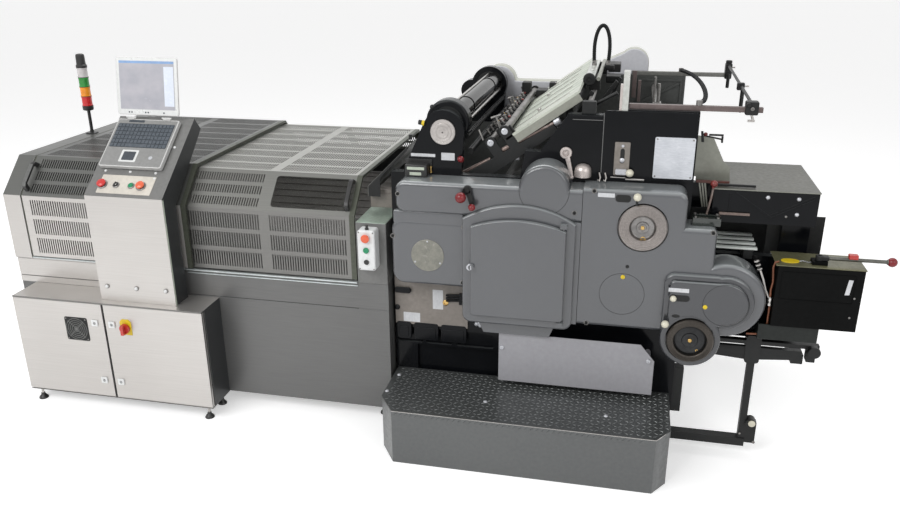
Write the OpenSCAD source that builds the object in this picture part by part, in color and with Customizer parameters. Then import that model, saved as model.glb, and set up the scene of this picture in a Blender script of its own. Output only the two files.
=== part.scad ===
// Cylinder letterpress: a cast press with an inclined feed board, a feeder at its right end,
// and a long guarded delivery with an electrical cabinet and a control console at its left end.
// Millimetres, +Z up. The operator's side faces -Y and the origin is on the ground under the bed.

/* [Press bed] */
// Reach of the bed casting to the left of the origin
bed_left = 760; // [710:5:820]
// Reach of the bed casting to the right of the origin
bed_right = 586; // [540:1:620]
// Half the width across the outer faces of the side frames
frame_half = 630; // [520:5:760]
// Thickness of each side frame
frame_t = 50; // [35:1:70]
// Height of the bed casting
bed_h = 510; // [430:5:600]
// Height of the side frames under the covers
frame_top = 1285; // [1270:5:1290]
// Height of the side frames at the feed end
head_top = 1605; // [1540:5:1700]

/* [Covers] */
// Depth of the gear covers in front of the side frame
cover_d = 140; // [110:1:170]
// Radius of the round front edge of the gear covers
cover_round = 20; // [6:1:28]
// Depth of the raised cover in front of the gear cover
raised_d = 40; // [32:1:60]
// Depth of the door surround in front of the gear cover
surround_d = 22; // [14:1:40]
// Radius of the round front edge of the raised parts
raised_round = 10; // [3:1:12]
// Width of the access door
door_w = 418; // [340:2:430]
// Bottom edge of the access door
door_z = 679; // [660:1:700]
// Height of the access door at its sides
door_h = 425; // [350:5:430]
// Rise of the door's arched top
door_rise = 38; // [20:1:60]
// Thickness of the access door
door_t = 24; // [16:1:32]
// Radius of the upper handwheel
wheel_upper_r = 103; // [80:1:120]
// Radius of the lower handwheel
wheel_lower_r = 100; // [80:1:110]

/* [Delivery] */
// Length of the guarded delivery between its end frame and its post
delivery_l = 1775; // [1480:5:2150]
// Length of each sliding guard
guard_l = 915; // [760:5:1000]
// Half the width of the inner guard
guard_half = 700; // [600:5:800]
// Height of the inner guard's roof
guard_top = 1233; // [1150:1:1290]
// Height where the inner guard's wall bends inwards
guard_bend = 1077; // [1060:1:1110]
// Step between the inner and the outer guard
guard_gap = 20; // [16:1:30]
// Thickness of the guards' sheet
sheet_t = 2; // [1.5:0.1:4]
// Distance between neighbouring slots
slot_pitch = 30; // [12:1:60]
// Width of one slot
slot_w = 9; // [4:0.5:20]
// Height of the delivery's base
base_h = 745; // [680:5:800]
// Gap under the delivery's base
base_lift = 70; // [40:1:110]

/* [Cabinet and console] */
// Width of the electrical cabinet
cabinet_w = 1053; // [900:1:1150]
// Depth of the electrical cabinet
cabinet_d = 189; // [160:1:260]
// Height of the electrical cabinet
cabinet_h = 538; // [450:1:600]
// Thickness of a cabinet door
leaf_t = 20; // [14:1:26]
// Width of the console
console_w = 412; // [360:1:480]
// Depth of the console's foot in front of the guard
console_d = 110; // [80:1:140]
// Height of the console's front edge
console_h = 1150; // [1110:1:1200]
// Rise of the console's desk
desk_rise = 310; // [250:1:360]
// Depth of the console's desk
desk_d = 382; // [320:1:440]
// Width of the laptop computer
laptop_w = 335; // [280:1:380]
// Depth of the laptop computer
laptop_d = 293; // [250:1:310]
// Total height of the stack light's lamps
lamps_h = 215; // [180:1:260]

/* [Step] */
// Height of the step
step_h = 275; // [200:5:300]
// Reach of the step in front of the side frame
step_d = 424; // [340:1:520]

/* [Feeder] */
// Reach of the feeder housing to the right of the origin
feeder_right = 1100; // [1060:5:1180]
// Height of the feeder housing's top
feeder_top = 1284; // [1260:1:1330]
// Length of the near rail over the feeder
rail_l = 541; // [450:5:600]
// Length of the pump box
pump_l = 338; // [300:1:400]
// Height of the pump box
pump_h = 275; // [220:1:275]

/* [Hidden] */
$fn = 48;
clear = 5;
seat_gap = 0.1;
pin_gap = 0.05;

inner_y = frame_half - frame_t;
head_top_rear = head_top - 27;
cover_y = frame_half + cover_d;
raised_y = cover_y + raised_d;
surround_y = cover_y + surround_d;
door_x = -140;
door_left = door_x - door_w / 2;
door_right = door_x + door_w / 2;
door_y = surround_y + clear + door_t;
hinge_x = door_right - door_t / 2;
pivot_y = door_y - door_t / 2;

post_w = 150;
post_h = 1053;
post_right = -bed_left - 10;
post_left = post_right - post_w;
delivery_right = post_left - clear;
delivery_left = delivery_right - delivery_l;
end_w = 100;
guard_bottom = base_h + 14;
guard_margin = 28;
guard_edge = 14;
guard_bar = 14;
bay_w = (guard_l - 3 * guard_margin) / 2;
rib_w = 8;
rib_d = 12;
grille_t = 1.5;
outer_half = guard_half + guard_gap;
outer_bend = guard_bend + guard_gap * (sqrt(2) - 1);
outer_top = guard_top + guard_gap;
inner_left = delivery_right - guard_l;
outer_left = delivery_left + clear;
front_y = guard_half + 6;
delivery_rail_y = 430;
tape_top = 986;

cabinet_left = delivery_left - 14;
cabinet_right = cabinet_left + cabinet_w;
cabinet_y = front_y + cabinet_d;
cabinet_z = 67;
cabinet_top = cabinet_z + cabinet_h;
cabinet_wall = 3;
leaf_split = cabinet_left + cabinet_w * 0.484;
leaf_y = cabinet_y - leaf_t / 2;
rim_y = cabinet_y - leaf_t - 10;
leaf_pin_r = 3;
switch_x = leaf_split + 120;
switch_z = cabinet_top - 122;
switch_r = 8;
fan = [cabinet_left + 284, cabinet_top - 218];

console_x = cabinet_left + 484;
console_back = outer_half + 14;
console_y = console_back + console_d + 6;
desk_back = console_y - desk_d;
desk_top = console_h + desk_rise;
desk_angle = atan2(desk_rise, desk_d);
laptop_x = console_x + 22;
laptop_t = 26;
screen_t = 9;
laptop_from = 162;
laptop_seat = 0.2;
laptop_pivot = laptop_t + screen_t / 2 + 2;
lid_back = 9;
lid_pin_r = 1.5;
lid_pins = [50, laptop_w - 90];

wheel = [387, 1131];
hub = [624, 645];
hub_r = 128;
lobe = [756, 820];
lobe_r = 168;
shaft_r = 20;
lever = [-369, 1262];
lever_r = 10;
stop_pivot = [1115, frame_half + 90];
stop_z = 1032;
stop_r = 8;

feed_low = [-230, 1440];
feed_high = [85, 1662];
feed_angle = atan2(feed_high[1] - feed_low[1], feed_high[0] - feed_low[0]);
feed_half = frame_half - 150;
feed_t = 12;
bar_a = [-304, 1426];
bar_b = [-241, 1481];
head = [-511, 1479];
rail_start = 294;
rail_end = rail_start + rail_l;
rail_y = frame_half - 44;
feeder_y = frame_half;
feeder_left = 674;
feeder_low = 1135;
wall_y = frame_half - 130;
pump_left = 951;
pump_top = 1003;
pump_bottom = pump_top - pump_h;
leaf_pin_l = 18;
lock_w = 34;
lock_t = 8;
switch_t = 4;
fan_w = 128;
fan_t = 6;
butt_gap = 0.2;
box_w = 85;
box_h = 197;
box_d = 64;
box_x = post_left + 28;
box_z = 838;
cover_foot = [-884, 1210];
cover_head = [-690, 1404];
cover_low = 1150;
cover_sheet = 3;
hinge_pin_r = 4;
step_front = frame_half + step_d;
step_fold = 30;
barrel = [-500, 1515];
barrel_r = 100;
pump_y = frame_half + 140;
seam = 129;
lamp_z = outer_top + 160;
lamp_x = delivery_left - end_w / 2;
cap_h = 75;
hose_start = [580, -rail_y - 12, head_top + 32];
hose_end = [559, rail_y + 12, head_top_rear + 32];
hose_bend = 75;
hose_swing = 2.6;
hose_l = 2 * rail_y + 24 - hose_bend;
hose_fall = asin((hose_start[2] - hose_end[2]) / (2 * rail_y + 24));

module front(y0, y1) translate([0, y1, 0]) rotate([90, 0, 0]) linear_extrude(y1 - y0) children();
module side(x0, x1) translate([x0, 0, 0]) rotate([90, 0, 90]) linear_extrude(x1 - x0) children();
module block(x0, x1, y0, y1, z0, z1) translate([x0, y0, z0]) cube([x1 - x0, y1 - y0, z1 - z0]);
module rod_x(x0, x1, y, z, r) translate([x0, y, z]) rotate([0, 90, 0]) cylinder(h = x1 - x0, r = r);
module rod_y(x, y0, y1, z, r) translate([x, y0, z]) rotate([-90, 0, 0]) cylinder(h = y1 - y0, r = r);
module rod_z(x, y, z0, z1, r) translate([x, y, z0]) cylinder(h = z1 - z0, r = r);
module both_sides() {
    children();
    mirror([0, 1, 0]) children();
}

// Rectangle with round corners, in the plane that is extruded
module rounded(x0, x1, z0, z1, r) {
    translate([x0 + r, z0]) square([x1 - x0 - 2 * r, z1 - z0]);
    if (z1 - z0 > 2 * r) translate([x0, z0 + r]) square([x1 - x0, z1 - z0 - 2 * r]);
    for (x = [x0 + r, x1 - r], z = [z0 + r, z1 - r]) translate([x, z]) circle(r);
}

// Radius of the circle whose segment has this half chord and this rise
function arc_r(half, rise) = (half * half + rise * rise) / (2 * rise);

// Rectangle with an arched top
module arched(x0, x1, z0, z1, rise, r) {
    arc = arc_r((x1 - x0) / 2, rise);
    intersection() {
        rounded(x0, x1, z0, z1 + rise + r, r);
        union() {
            translate([x0, z0]) square([x1 - x0, z1 - z0]);
            intersection() {
                translate([x0, z0]) square([x1 - x0, z1 + rise - z0]);
                translate([(x0 + x1) / 2, z1 + rise - arc]) circle(arc, $fn = 120);
            }
        }
    }
}

// Section of a casting, from a0 to a1 across and d deep, with a round edge f on the outer face
module nose(a0, a1, d, f) {
    translate([a0, 0]) square([a1 - a0, d - f]);
    translate([a0 + f, 0]) square([a1 - a0 - 2 * f, d]);
    for (a = [a0 + f, a1 - f]) translate([a, d - f]) circle(f);
}
// Round casting about c that reaches from y0 to y1 in front of the middle plane
module puck(c, r, y0, y1, f) {
    d = y1 - y0;
    translate([c[0], -y0, c[1]]) rotate([90, 0, 0]) rotate_extrude($fn = 96) {
        square([r - f, d]);
        square([r, d - f]);
        translate([r - f, d - f]) intersection() {
            circle(f);
            square(f);
        }
    }
}
// Rectangular casting with round corners r and a round front edge f
module pad(x0, x1, z0, z1, r, y0, y1, f) {
    upright(x0, x1, z0 + r, z1 - r, y0, y1, f);
    translate([x0 + r, -y0, 0]) rotate([90, 0, 90]) linear_extrude(x1 - x0 - 2 * r)
        rotate(90) nose(z0, z1, y1 - y0, f);
    for (x = [x0 + r, x1 - r], z = [z0 + r, z1 - r]) puck([x, z], r, y0, y1, f);
}
module upright(x0, x1, z0, z1, y0, y1, f)
    translate([0, -y0, z0]) linear_extrude(z1 - z0) mirror([0, 1]) nose(x0, x1, y1 - y0, f);
// The same with an arched top
module arch_pad(x0, x1, z0, z1, rise, r, y0, y1, f) {
    arc = arc_r((x1 - x0) / 2, rise);
    intersection() {
        upright(x0, x1, z0 + r, z1 + rise + r, y0, y1, f);
        puck([(x0 + x1) / 2, z1 + rise - arc], arc, y0, y1, f);
    }
    intersection() {
        pad(x0, x1, z0, z1 - 5, r, y0, y1, f);
        block(x0 - 1, x1 + 1, -y1 - 1, -y0 + 1, z0 - 1, z1 - 60);
    }
}

// ---- Delivery ----

module cabinet_body() {
    color("silver") {
        difference() {
            block(cabinet_left, cabinet_right, -rim_y, -front_y, cabinet_z, cabinet_top);
            block(cabinet_left + cabinet_wall, cabinet_right - cabinet_wall, -rim_y - 1,
                  -front_y - cabinet_wall, cabinet_z + cabinet_wall, cabinet_top - cabinet_wall);
        }
        for (z = [cabinet_z, cabinet_top - cabinet_wall])
            block(cabinet_left, cabinet_right, -cabinet_y + 2, -rim_y + 1, z, z + cabinet_wall);
        block(leaf_split - 10, leaf_split + 10, -rim_y, -rim_y + cabinet_wall, cabinet_z, cabinet_top);
        for (x = [cabinet_left + leaf_t / 2, cabinet_right - leaf_t / 2])
            for (z = [cabinet_z, cabinet_top - leaf_pin_l]) rod_z(x, -leaf_y, z, z + leaf_pin_l, leaf_pin_r);
    }
}
module mounting_plate() {
    y = -front_y - 14;
    color("gainsboro") {
        block(cabinet_left + 60, cabinet_right - 60, y - 3, y, cabinet_z + 40, cabinet_top - 40);
        for (x = [cabinet_left + 90, cabinet_right - 90], z = [cabinet_z + 70, cabinet_top - 70])
            rod_y(x, y, -front_y - 3, z, 6);
        for (z = [cabinet_z + 150, cabinet_z + 350])
            block(cabinet_left + 90, cabinet_right - 90, y - 10, y - 3, z, z + 35);
    }
}
module levelling_feet() {
    color("dimgray") {
        for (x = [cabinet_left + 40, cabinet_right - 40], y = [-cabinet_y + 30, -front_y - 20])
            foot(x, y, cabinet_z);
        for (x = [delivery_left - 60, (delivery_left + post_left) / 2, post_right - 60],
             y = [-guard_half + 60, guard_half - 60])
            foot(x, y, base_lift);
    }
}
module foot(x, y, z) {
    rod_z(x, y, 0, 12, 24);
    rod_z(x, y, 12, z, 7);
}

// One leaf of the cabinet: a folded tray that turns on pins in its outer edge
module leaf(x0, x1, pin_x) {
    z0 = cabinet_z + 8;
    z1 = cabinet_top - 8;
    difference() {
        block(x0, x1, -cabinet_y, -cabinet_y + leaf_t, z0, z1);
        block(x0 + 24, x1 - 24, -cabinet_y + 2, -cabinet_y + leaf_t + 1, z0 + 24, z1 - 24);
        for (z = [z0 - 1, z1 - 15]) rod_z(pin_x, -leaf_y, z, z + 16, leaf_pin_r + pin_gap);
    }
}
module locks(x) {
    for (z = [cabinet_top - 111, cabinet_z + 103])
        translate([x, -cabinet_y - lock_t / 2, z]) cube([lock_w, lock_t, lock_w], center = true);
}
module cabinet_door_left() {
    color("silver") leaf(cabinet_left, leaf_split - clear / 2, cabinet_left + leaf_t / 2);
    color("white") locks(leaf_split - 52);
    color("black") front(-cabinet_y - fan_t, -cabinet_y) difference() {
        rounded(fan[0], fan[0] + fan_w, fan[1], fan[1] + fan_w, 8);
        for (z = [fan[1] + 14 : 16 : fan[1] + fan_w - 14])
            translate([fan[0] + 14, z]) square([fan_w - 28, 6]);
    }
}
module cabinet_door_right() {
    color("silver") difference() {
        leaf(leaf_split + clear / 2, cabinet_right, cabinet_right - leaf_t / 2);
        rod_y(switch_x, -cabinet_y - 1, -cabinet_y + 5, switch_z, switch_r + pin_gap);
    }
    color("yellow") front(-cabinet_y - switch_t, -cabinet_y) difference() {
        rounded(switch_x - 34, switch_x + 34, switch_z - 34, switch_z + 34, 5);
        translate([switch_x, switch_z]) circle(switch_r + pin_gap);
    }
    color("white") locks(leaf_split + 42);
}
module main_switch_knob() {
    color("red") {
        rod_y(switch_x, -cabinet_y - 14, -cabinet_y + 1, switch_z, switch_r);
        rod_y(switch_x, -cabinet_y - 20, -cabinet_y - 8, switch_z, 26);
        block(switch_x - 8, switch_x + 8, -cabinet_y - 40, -cabinet_y - 18, switch_z - 25, switch_z + 25);
    }
}

module extension_base() {
    color("dimgray") {
        block(delivery_left - end_w, post_right, -front_y, front_y, base_lift, cabinet_top + 5);
        block(delivery_left - end_w, post_right, -front_y + 2, front_y - 2, cabinet_top + 4, base_h);
    }
}
module guard_rails() {
    color("lightgray") both_sides()
        block(delivery_left, post_left, -guard_half - 2, -guard_half + 14, base_h, base_h + 7);
}

// Outline of a hood: two walls, two slopes at 45 degrees and a roof
function hood(half, bend, top, foot) = [[-half, foot], [-half, bend], [-half + top - bend, top],
                                        [half - top + bend, top], [half, bend], [half, foot]];
module hood_sheet(half, bend, top, foot, t) {
    difference() {
        polygon(hood(half, bend, top, foot));
        polygon(hood(half - t, bend - t * (sqrt(2) - 1), top - t, foot - 1));
    }
}

// Stands a flat shape, drawn $l long and $h high, in each of a hood's five faces
module hood_faces(x0, half, bend, top, inset, t, pane) {
    slope = (top - bend) * sqrt(2);
    run = half - top + bend;
    for (s = [-1, 1]) {
        translate([x0, s * (half - inset), guard_bottom]) rotate([90, 0, 0])
            face(bend - guard_bottom, 3, 0, t) children();
        translate([x0, s * half, bend]) rotate([s * 45, 0, 0])
            translate([0, -s * inset, 0]) rotate([90, 0, 0]) face(slope, 3, s == -1 ? pane : 0, t) children();
    }
    translate([x0, -run, top - inset]) face(2 * run, 8, 0, t) children();
}
module face($h, $rows, $pane, t) linear_extrude(t, center = true) children();

// Windows of one face, in two bays and in rows, or slots that fill those windows
module windows() {
    step = ($h - 2 * guard_edge + guard_bar) / $rows;
    for (b = [0, 1], r = [0 : $rows - 1])
        translate([guard_margin + b * (bay_w + guard_margin), guard_edge + r * step])
            square([bay_w, step - guard_bar]);
}
module slotted() {
    step = ($h - 2 * guard_edge + guard_bar) / $rows;
    n = floor((bay_w - slot_w) / slot_pitch);
    start = (bay_w - n * slot_pitch - slot_w) / 2;
    difference() {
        translate([guard_margin - 8, 8])
            square([$pane > 0 ? bay_w + 16 : guard_l - 2 * guard_margin + 16, $h - 16]);
        for (b = [0 : 1 - $pane], r = [0 : $rows - 1], i = [0 : n])
            translate([guard_margin + b * (bay_w + guard_margin) + start + i * slot_pitch,
                       guard_edge + r * step + 4]) square([slot_w, step - guard_bar - 8]);
    }
}
// The five panels butt at the bends, with a hairline between them
module guard(x0, half, bend, top) {
    difference() {
        union() {
            side(x0, x0 + guard_l) hood_sheet(half, bend, top, guard_bottom, sheet_t);
            for (x = [x0, x0 + guard_l - rib_w])
                side(x, x + rib_w) hood_sheet(half, bend, top, guard_bottom, rib_d);
        }
        hood_faces(x0, half, bend, top, 0, 4 * sheet_t, 0) windows();
        both_sides() {
            butt(x0, -half, bend, 22.5);
            butt(x0, -half + top - bend, top, 67.5);
        }
    }
}
module butt(x0, y, z, fall)
    translate([x0 - 1, y, z]) rotate([-fall, 0, 0]) translate([0, -5, -butt_gap / 2])
        cube([guard_l + 2, rib_d * 2, butt_gap]);
module grille(x0, half, bend, top, pane)
    hood_faces(x0, half, bend, top, sheet_t + seat_gap + grille_t / 2, grille_t, pane) slotted();

module guard_left() {
    color("dimgray") guard(outer_left, outer_half, outer_bend, outer_top);
}
module guard_left_grille() {
    color("gray") grille(outer_left, outer_half, outer_bend, outer_top, 0);
}
module guard_right() {
    color("dimgray") guard(inner_left, guard_half, guard_bend, guard_top);
}
module guard_right_grille() {
    color("gray") grille(inner_left, guard_half, guard_bend, guard_top, 1);
}
// Clear pane in the right bay of the inner guard's front slope
module guard_window() {
    color("lightblue", 0.35) translate([inner_left + 2 * guard_margin + bay_w - 8, -guard_half, guard_bend])
        rotate([-45, 0, 0]) translate([0, sheet_t + seat_gap, 8])
            cube([bay_w + 16, 3, (guard_top - guard_bend) * sqrt(2) - 16]);
}
// Bridge handle standing on the guard's slope
module handle(x, half, bend) {
    color("black") translate([x, -half, bend]) rotate([-45, 0, 0]) side(0, 22) difference() {
        polygon([[0, 24], [-34, 34], [-42, 54], [-42, 162], [-34, 182], [0, 192]]);
        polygon([[1, 46], [-28, 56], [-28, 160], [1, 170]]);
    }
}
module guard_left_handle() handle(outer_left + 16, outer_half, outer_bend);
module guard_right_handle() handle(delivery_right - 50, guard_half, guard_bend);

// Slotted cover between the guards and the delivery head, folded from sheet
module fixed_guard() {
    y = frame_half - 30;
    n = floor((2 * y - 80) / slot_pitch);
    l = (norm(cover_head - cover_foot) - 60) / 2;
    color("dimgray") {
        difference() {
            front(-y, y) polygon([[cover_foot[0], cover_low], cover_foot, cover_head,
                cover_head - [0, cover_sheet * sqrt(2)], cover_foot + cover_sheet * [1, -0.42],
                [cover_foot[0] + cover_sheet, cover_low]]);
            translate([cover_foot[0], -n * slot_pitch / 2, cover_foot[1]]) rotate([0, -45, 0])
                for (i = [0 : n], x = [20, l + 40])
                    translate([x, i * slot_pitch - slot_w / 2, -2 * cover_sheet])
                        cube([l, slot_w, 4 * cover_sheet]);
        }
        both_sides() front(y - cover_sheet, y) cheek();
    }
}
module cheek() {
    polygon([[cover_foot[0], cover_low], cover_foot, cover_head, [cover_head[0] + 10, cover_head[1]],
             [-bed_left + 50, frame_top], [-bed_left, frame_top], [-bed_left, cover_low]]);
}

module end_frame() {
    color("silver") {
        side(delivery_left - end_w, delivery_left) difference() {
            polygon(hood(outer_half, outer_bend, outer_top, base_h));
            polygon(hood(outer_half - 60, outer_bend - 20, outer_top - 60, base_h - 1));
        }
        block(delivery_left - end_w, delivery_left - end_w + 3, -outer_half + 50, outer_half - 50,
              base_h, outer_bend + 20);
    }
}
module delivery_post() {
    color("darkseagreen") block(post_left, post_right, -front_y, -delivery_rail_y - 20, base_h, post_h);
}
module button_box() {
    color("white") pad(box_x, box_x + box_w, box_z, box_z + box_h, 12, front_y, front_y + box_d, 8);
}
module delivery_rails() {
    color("gray") both_sides()
        side(delivery_left + 40, post_right + 60) translate([delivery_rail_y - 10, base_h]) square([20, 245]);
}
module delivery_conveyor() {
    y = delivery_rail_y - 12;
    x0 = delivery_left + 120;
    x1 = post_right;
    color("dimgray") {
        for (x = [x0, x1]) rod_y(x, -y, y, tape_top - 41, 40);
        block(x0 + 42, x1 - 42, -y, y, tape_top - 66, tape_top - 4);
        for (b = [-360 : 120 : 360]) block(x0, x1, b - 25, b + 25, tape_top - 1.5, tape_top);
        for (x = [x0 + 43, x1 - 63]) block(x, x + 20, -y, y, tape_top - 5, tape_top - 1);
    }
}

// ---- Console ----

module console_body() {
    color("dimgray") side(console_x, console_x + console_w) polygon([
        [-console_y + 3, cabinet_top], [-console_y + 3, console_h], [-console_y, console_h],
        [-desk_back, desk_top], [-desk_back + 51, desk_top - 61],
        [-outer_half + outer_top - outer_bend - 8, outer_top + 6],
        [-console_back, outer_bend + 8], [-console_back, cabinet_top]]);
}
module console_front() {
    color("silver")
        block(console_x, console_x + console_w, -console_y, -console_y + 3, cabinet_top, console_h);
}
// Places a child on the sloping desk: x to the right, y up the slope, z off the desk
module on_desk() {
    translate([0, -console_y, console_h]) rotate([desk_angle, 0, 0]) children();
}
module push_buttons() {
    color("red") on_desk() {
        for (p = [[78, 22], [155, 10], [226, 14], [282, 22]])
            translate([console_x + p[0], 68, 0]) cylinder(h = 24, r = p[1]);
    }
    color("green") for (p = [[box_z + 162, 20], [box_z + 102, 14], [box_z + 44, 12]])
        rod_y(box_x + box_w / 2, -front_y - box_d - 20, -front_y - box_d, p[0], p[1]);
}
module laptop_base() {
    color("silver") on_desk() translate([laptop_x, laptop_from, laptop_seat]) {
        cube([laptop_w, laptop_d, laptop_t]);
        for (x = lid_pins) {
            translate([x - 6, laptop_d + 5, laptop_pivot]) rotate([0, 90, 0]) cylinder(h = 52, r = lid_pin_r);
            translate([x, laptop_d + 5, laptop_pivot]) rotate([0, 90, 0]) cylinder(h = 40, r = 4);
            translate([x, laptop_d - 1, laptop_t - 8]) cube([40, 8, laptop_pivot - laptop_t + 8]);
        }
    }
}
// The screen stands open on its pins, a little back from upright
module laptop_screen() {
    color("silver") on_desk() translate([laptop_x, laptop_from + laptop_d + 5, laptop_pivot + laptop_seat])
        rotate([-desk_angle - lid_back, 0, 0]) difference() {
            translate([0, -screen_t / 2, -screen_t / 2]) cube([laptop_w, screen_t, laptop_d]);
            for (x = lid_pins) {
                translate([x - 4, -10, -10]) cube([48, 20, 22]);
                translate([x - 7, 0, 0]) rotate([0, 90, 0]) cylinder(h = 54, r = lid_pin_r + pin_gap);
            }
        }
}

module stack_light_stem() {
    color("dimgray") {
        rod_z(lamp_x, 0, outer_top, outer_top + 6, 36);
        rod_z(lamp_x, 0, outer_top + 6, outer_top + 120, 10);
        rod_z(lamp_x, 0, outer_top + 120, lamp_z, 31);
        rod_z(lamp_x, 0, lamp_z + lamps_h, lamp_z + lamps_h + cap_h, 31);
    }
}
module stack_lamps() {
    lamp = lamps_h / 4;
    color("orange") for (i = [0 : 3])
        rod_z(lamp_x, 0, lamp_z + i * lamp, lamp_z + (i + 1) * lamp - 0.5, 30);
}

// ---- Press ----

// The bed has three arched pockets at its front left
module press_base() {
    color("#2b2b2b") {
        block(-bed_left, bed_right, -frame_half + 20, frame_half - 20, 0, bed_h);
        for (x = [-bed_left, -200, 200, bed_right - 110])
            block(x, x + 110, -frame_half, frame_half, 0, bed_h - 100);
        difference() {
            block(-bed_left, bed_right, -frame_half, frame_half, bed_h - 101, bed_h);
            front(-frame_half - 1, -frame_half + 16) for (p = [[8, 146], [154, 146], [307, 200]])
                arched(-bed_left + p[0], -bed_left + p[0] + p[1] - 14, bed_h - 92, bed_h - 24, 14, 10);
        }
    }
}

// Side frame: level under the covers, rising to the feed board and the feeder
function frame_line(top) = [[-bed_left, bed_h], [-bed_left, frame_top], [-160, frame_top],
    [-141, frame_top + 124], [-75, frame_top + 122], [43, head_top - 27], [rail_start - 4, head_top - 27],
    [rail_start - 2, top], [bed_right, top], [bed_right, bed_h]];
module side_frame_front() {
    color("#2b2b2b") {
        front(-frame_half, -inner_y) difference() {
            polygon(frame_line(head_top));
            translate([320, 820]) circle(60);
        }
        front(-frame_half - 8, -frame_half) {
            rounded(196, bed_right - 2, frame_top + 18, head_top - 5, 12);
            translate([48, head_top - 44]) square([142, 14]);
        }
    }
}
// The inner face of the rear side frame has a ribbed panel under the far rail
module side_frame_rear() {
    color("#2b2b2b") {
        front(inner_y, frame_half) polygon(frame_line(head_top_rear));
        front(inner_y - 8, inner_y) {
            difference() {
                translate([330, 1420]) square([240, 140]);
                translate([340, 1430]) square([220, 120]);
            }
            rib([352, 1432], [556, 1540], 10);
        }
    }
}
// Bar of width w from a to b, in the plane that is extruded
module rib(a, b, w)
    translate(a) rotate(atan2(b[1] - a[1], b[0] - a[0])) translate([0, -w / 2]) square([norm(b - a), w]);

// The castings are cut flat where the gear cover begins
module left_of_seam() intersection() {
    children();
    block(-bed_left - 1, seam - 1, -raised_y, 0, 0, head_top);
}
module right_of_seam() intersection() {
    children();
    block(seam + 1, 2 * bed_right, -raised_y, 0, 0, head_top);
}

module upper_cover() {
    color("dimgray") {
        difference() {
            union() {
                left_of_seam() pad(-704, seam + 90, 1136, 1280, 45, frame_half, cover_y, cover_round);
                puck([-37, 1270], 112, frame_half, cover_y, cover_round);
            }
            front(-cover_y - 1, -frame_half + 1) arched(-393, 109, 600, 1131, 74, 20);
        }
        rod_y(lever[0], -cover_y - 26, -cover_y + cover_round, lever[1], lever_r);
    }
}
module lower_cover() {
    color("dimgray") intersection() {
        pad(-729, -280, 785, 1100, 55, frame_half, cover_y - 10, cover_round);
        block(-730, -395, -cover_y, 0, 0, head_top);
    }
}
module door_casting() {
    color("dimgray") difference() {
        union() {
            arch_pad(-392, 108, 630, 1130, 74, 40, frame_half, surround_y, raised_round);
            front(-cover_y, -frame_half) translate([60, 655]) square([seam - 61, 480.5]);
            front(-frame_half - 110, -frame_half) polygon([[-345, 660], [-300, 562], [5, 562], [45, 660]]);
        }
        front(-surround_y - 1, -frame_half - 1)
            arched(door_left + 18, door_right - 18, door_z + 18, door_z + door_h - 18, door_rise, 18);
    }
    color("gray") for (z = [door_z - 24, door_z + door_h + 14])
        hinge_lug(z);
}
module hinge_lug(z) {
    low = z < door_z;
    block(hinge_x - 14, hinge_x + 14, -pivot_y - 10, -surround_y + 1, z, z + 18);
    rod_z(hinge_x, -pivot_y, low ? z : z - 18, low ? z + 36 : z + 18, hinge_pin_r);
}
module access_door() {
    inner = door_y - door_t;
    color("dimgray") difference() {
        union() {
            arch_pad(door_left, door_right, door_z, door_z + door_h, door_rise, 16, inner, door_y, 5);
            rod_y(door_left + 6, -door_y - 14, -door_y + 2, 918, 13);
        }
        front(-door_y + 8, -inner + 1)
            arched(door_left + 26, door_right - 26, door_z + 26, door_z + door_h - 26, door_rise, 12);
        rod_z(hinge_x, -pivot_y, door_z - 1, door_z + 14, hinge_pin_r + pin_gap);
        rod_z(hinge_x, -pivot_y, door_z + door_h - 14, door_z + door_h + 40, hinge_pin_r + pin_gap);
    }
}

module gear_cover() {
    color("dimgray") difference() {
        union() {
            right_of_seam() pad(seam - 90, 565, 655, 1290, 40, frame_half, cover_y, cover_round);
            pad(500, 695, 700, 1138, 22, frame_half, cover_y, cover_round);
            puck(lobe, lobe_r, frame_half, cover_y, cover_round);
            pad(493, 756, 652, 850, 22, frame_half, cover_y, cover_round);
        }
        front(-cover_y - 1, -cover_y + 30) translate(wheel) circle(wheel_upper_r + clear, $fn = 96);
        rod_y(wheel[0], -cover_y - 1, -frame_half - 30, wheel[1], shaft_r + pin_gap);
    }
}
// The raised cover steps out twice, and its hub stands at the full depth
module raised_cover() {
    color("dimgray") difference() {
        union() {
            raised(0, raised_y - 16);
            raised(24, raised_y);
            puck(hub, hub_r, cover_y, raised_y, raised_round);
        }
        front(-raised_y - 1, -raised_y + 24) translate(hub) circle(wheel_lower_r + clear, $fn = 96);
        rod_y(hub[0], -raised_y - 1, -cover_y + 1, hub[1], shaft_r + pin_gap);
        front(-raised_y - 1, -raised_y + 12) rounded(526, 606, 826, 854, 13.9);
    }
}
module raised(inset, y1) {
    left = hub[0] - hub_r + 1 + inset;
    pad(left, 760 - inset / 2, 712, 939 - inset, 45 - inset, cover_y, y1, raised_round);
    puck(lobe, 119 - inset, cover_y, y1, raised_round);
    upright(left, 700, 645, 800, cover_y, y1, raised_round);
}

// Handwheel: a turned disc with a dished middle, on its own shaft
module handwheel(at, y, r, dish) {
    translate([at[0], y, at[1]]) rotate([90, 0, 0]) rotate_extrude($fn = 96) polygon([
        [0, -18], [shaft_r, -18], [shaft_r, 2], [r - 14, 2], [r, 8], [r, 30], [r - 6, 36], [dish + 8, 36],
        [dish, 28], [dish, 16], [22, 16], [22, 24], [0, 24]]);
}
module handwheel_upper() {
    color("silver") handwheel(wheel, -cover_y + 24, wheel_upper_r, 58);
}
module handwheel_lower() {
    color("silver") handwheel(hub, -raised_y + 18, wheel_lower_r, 70);
}

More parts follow.
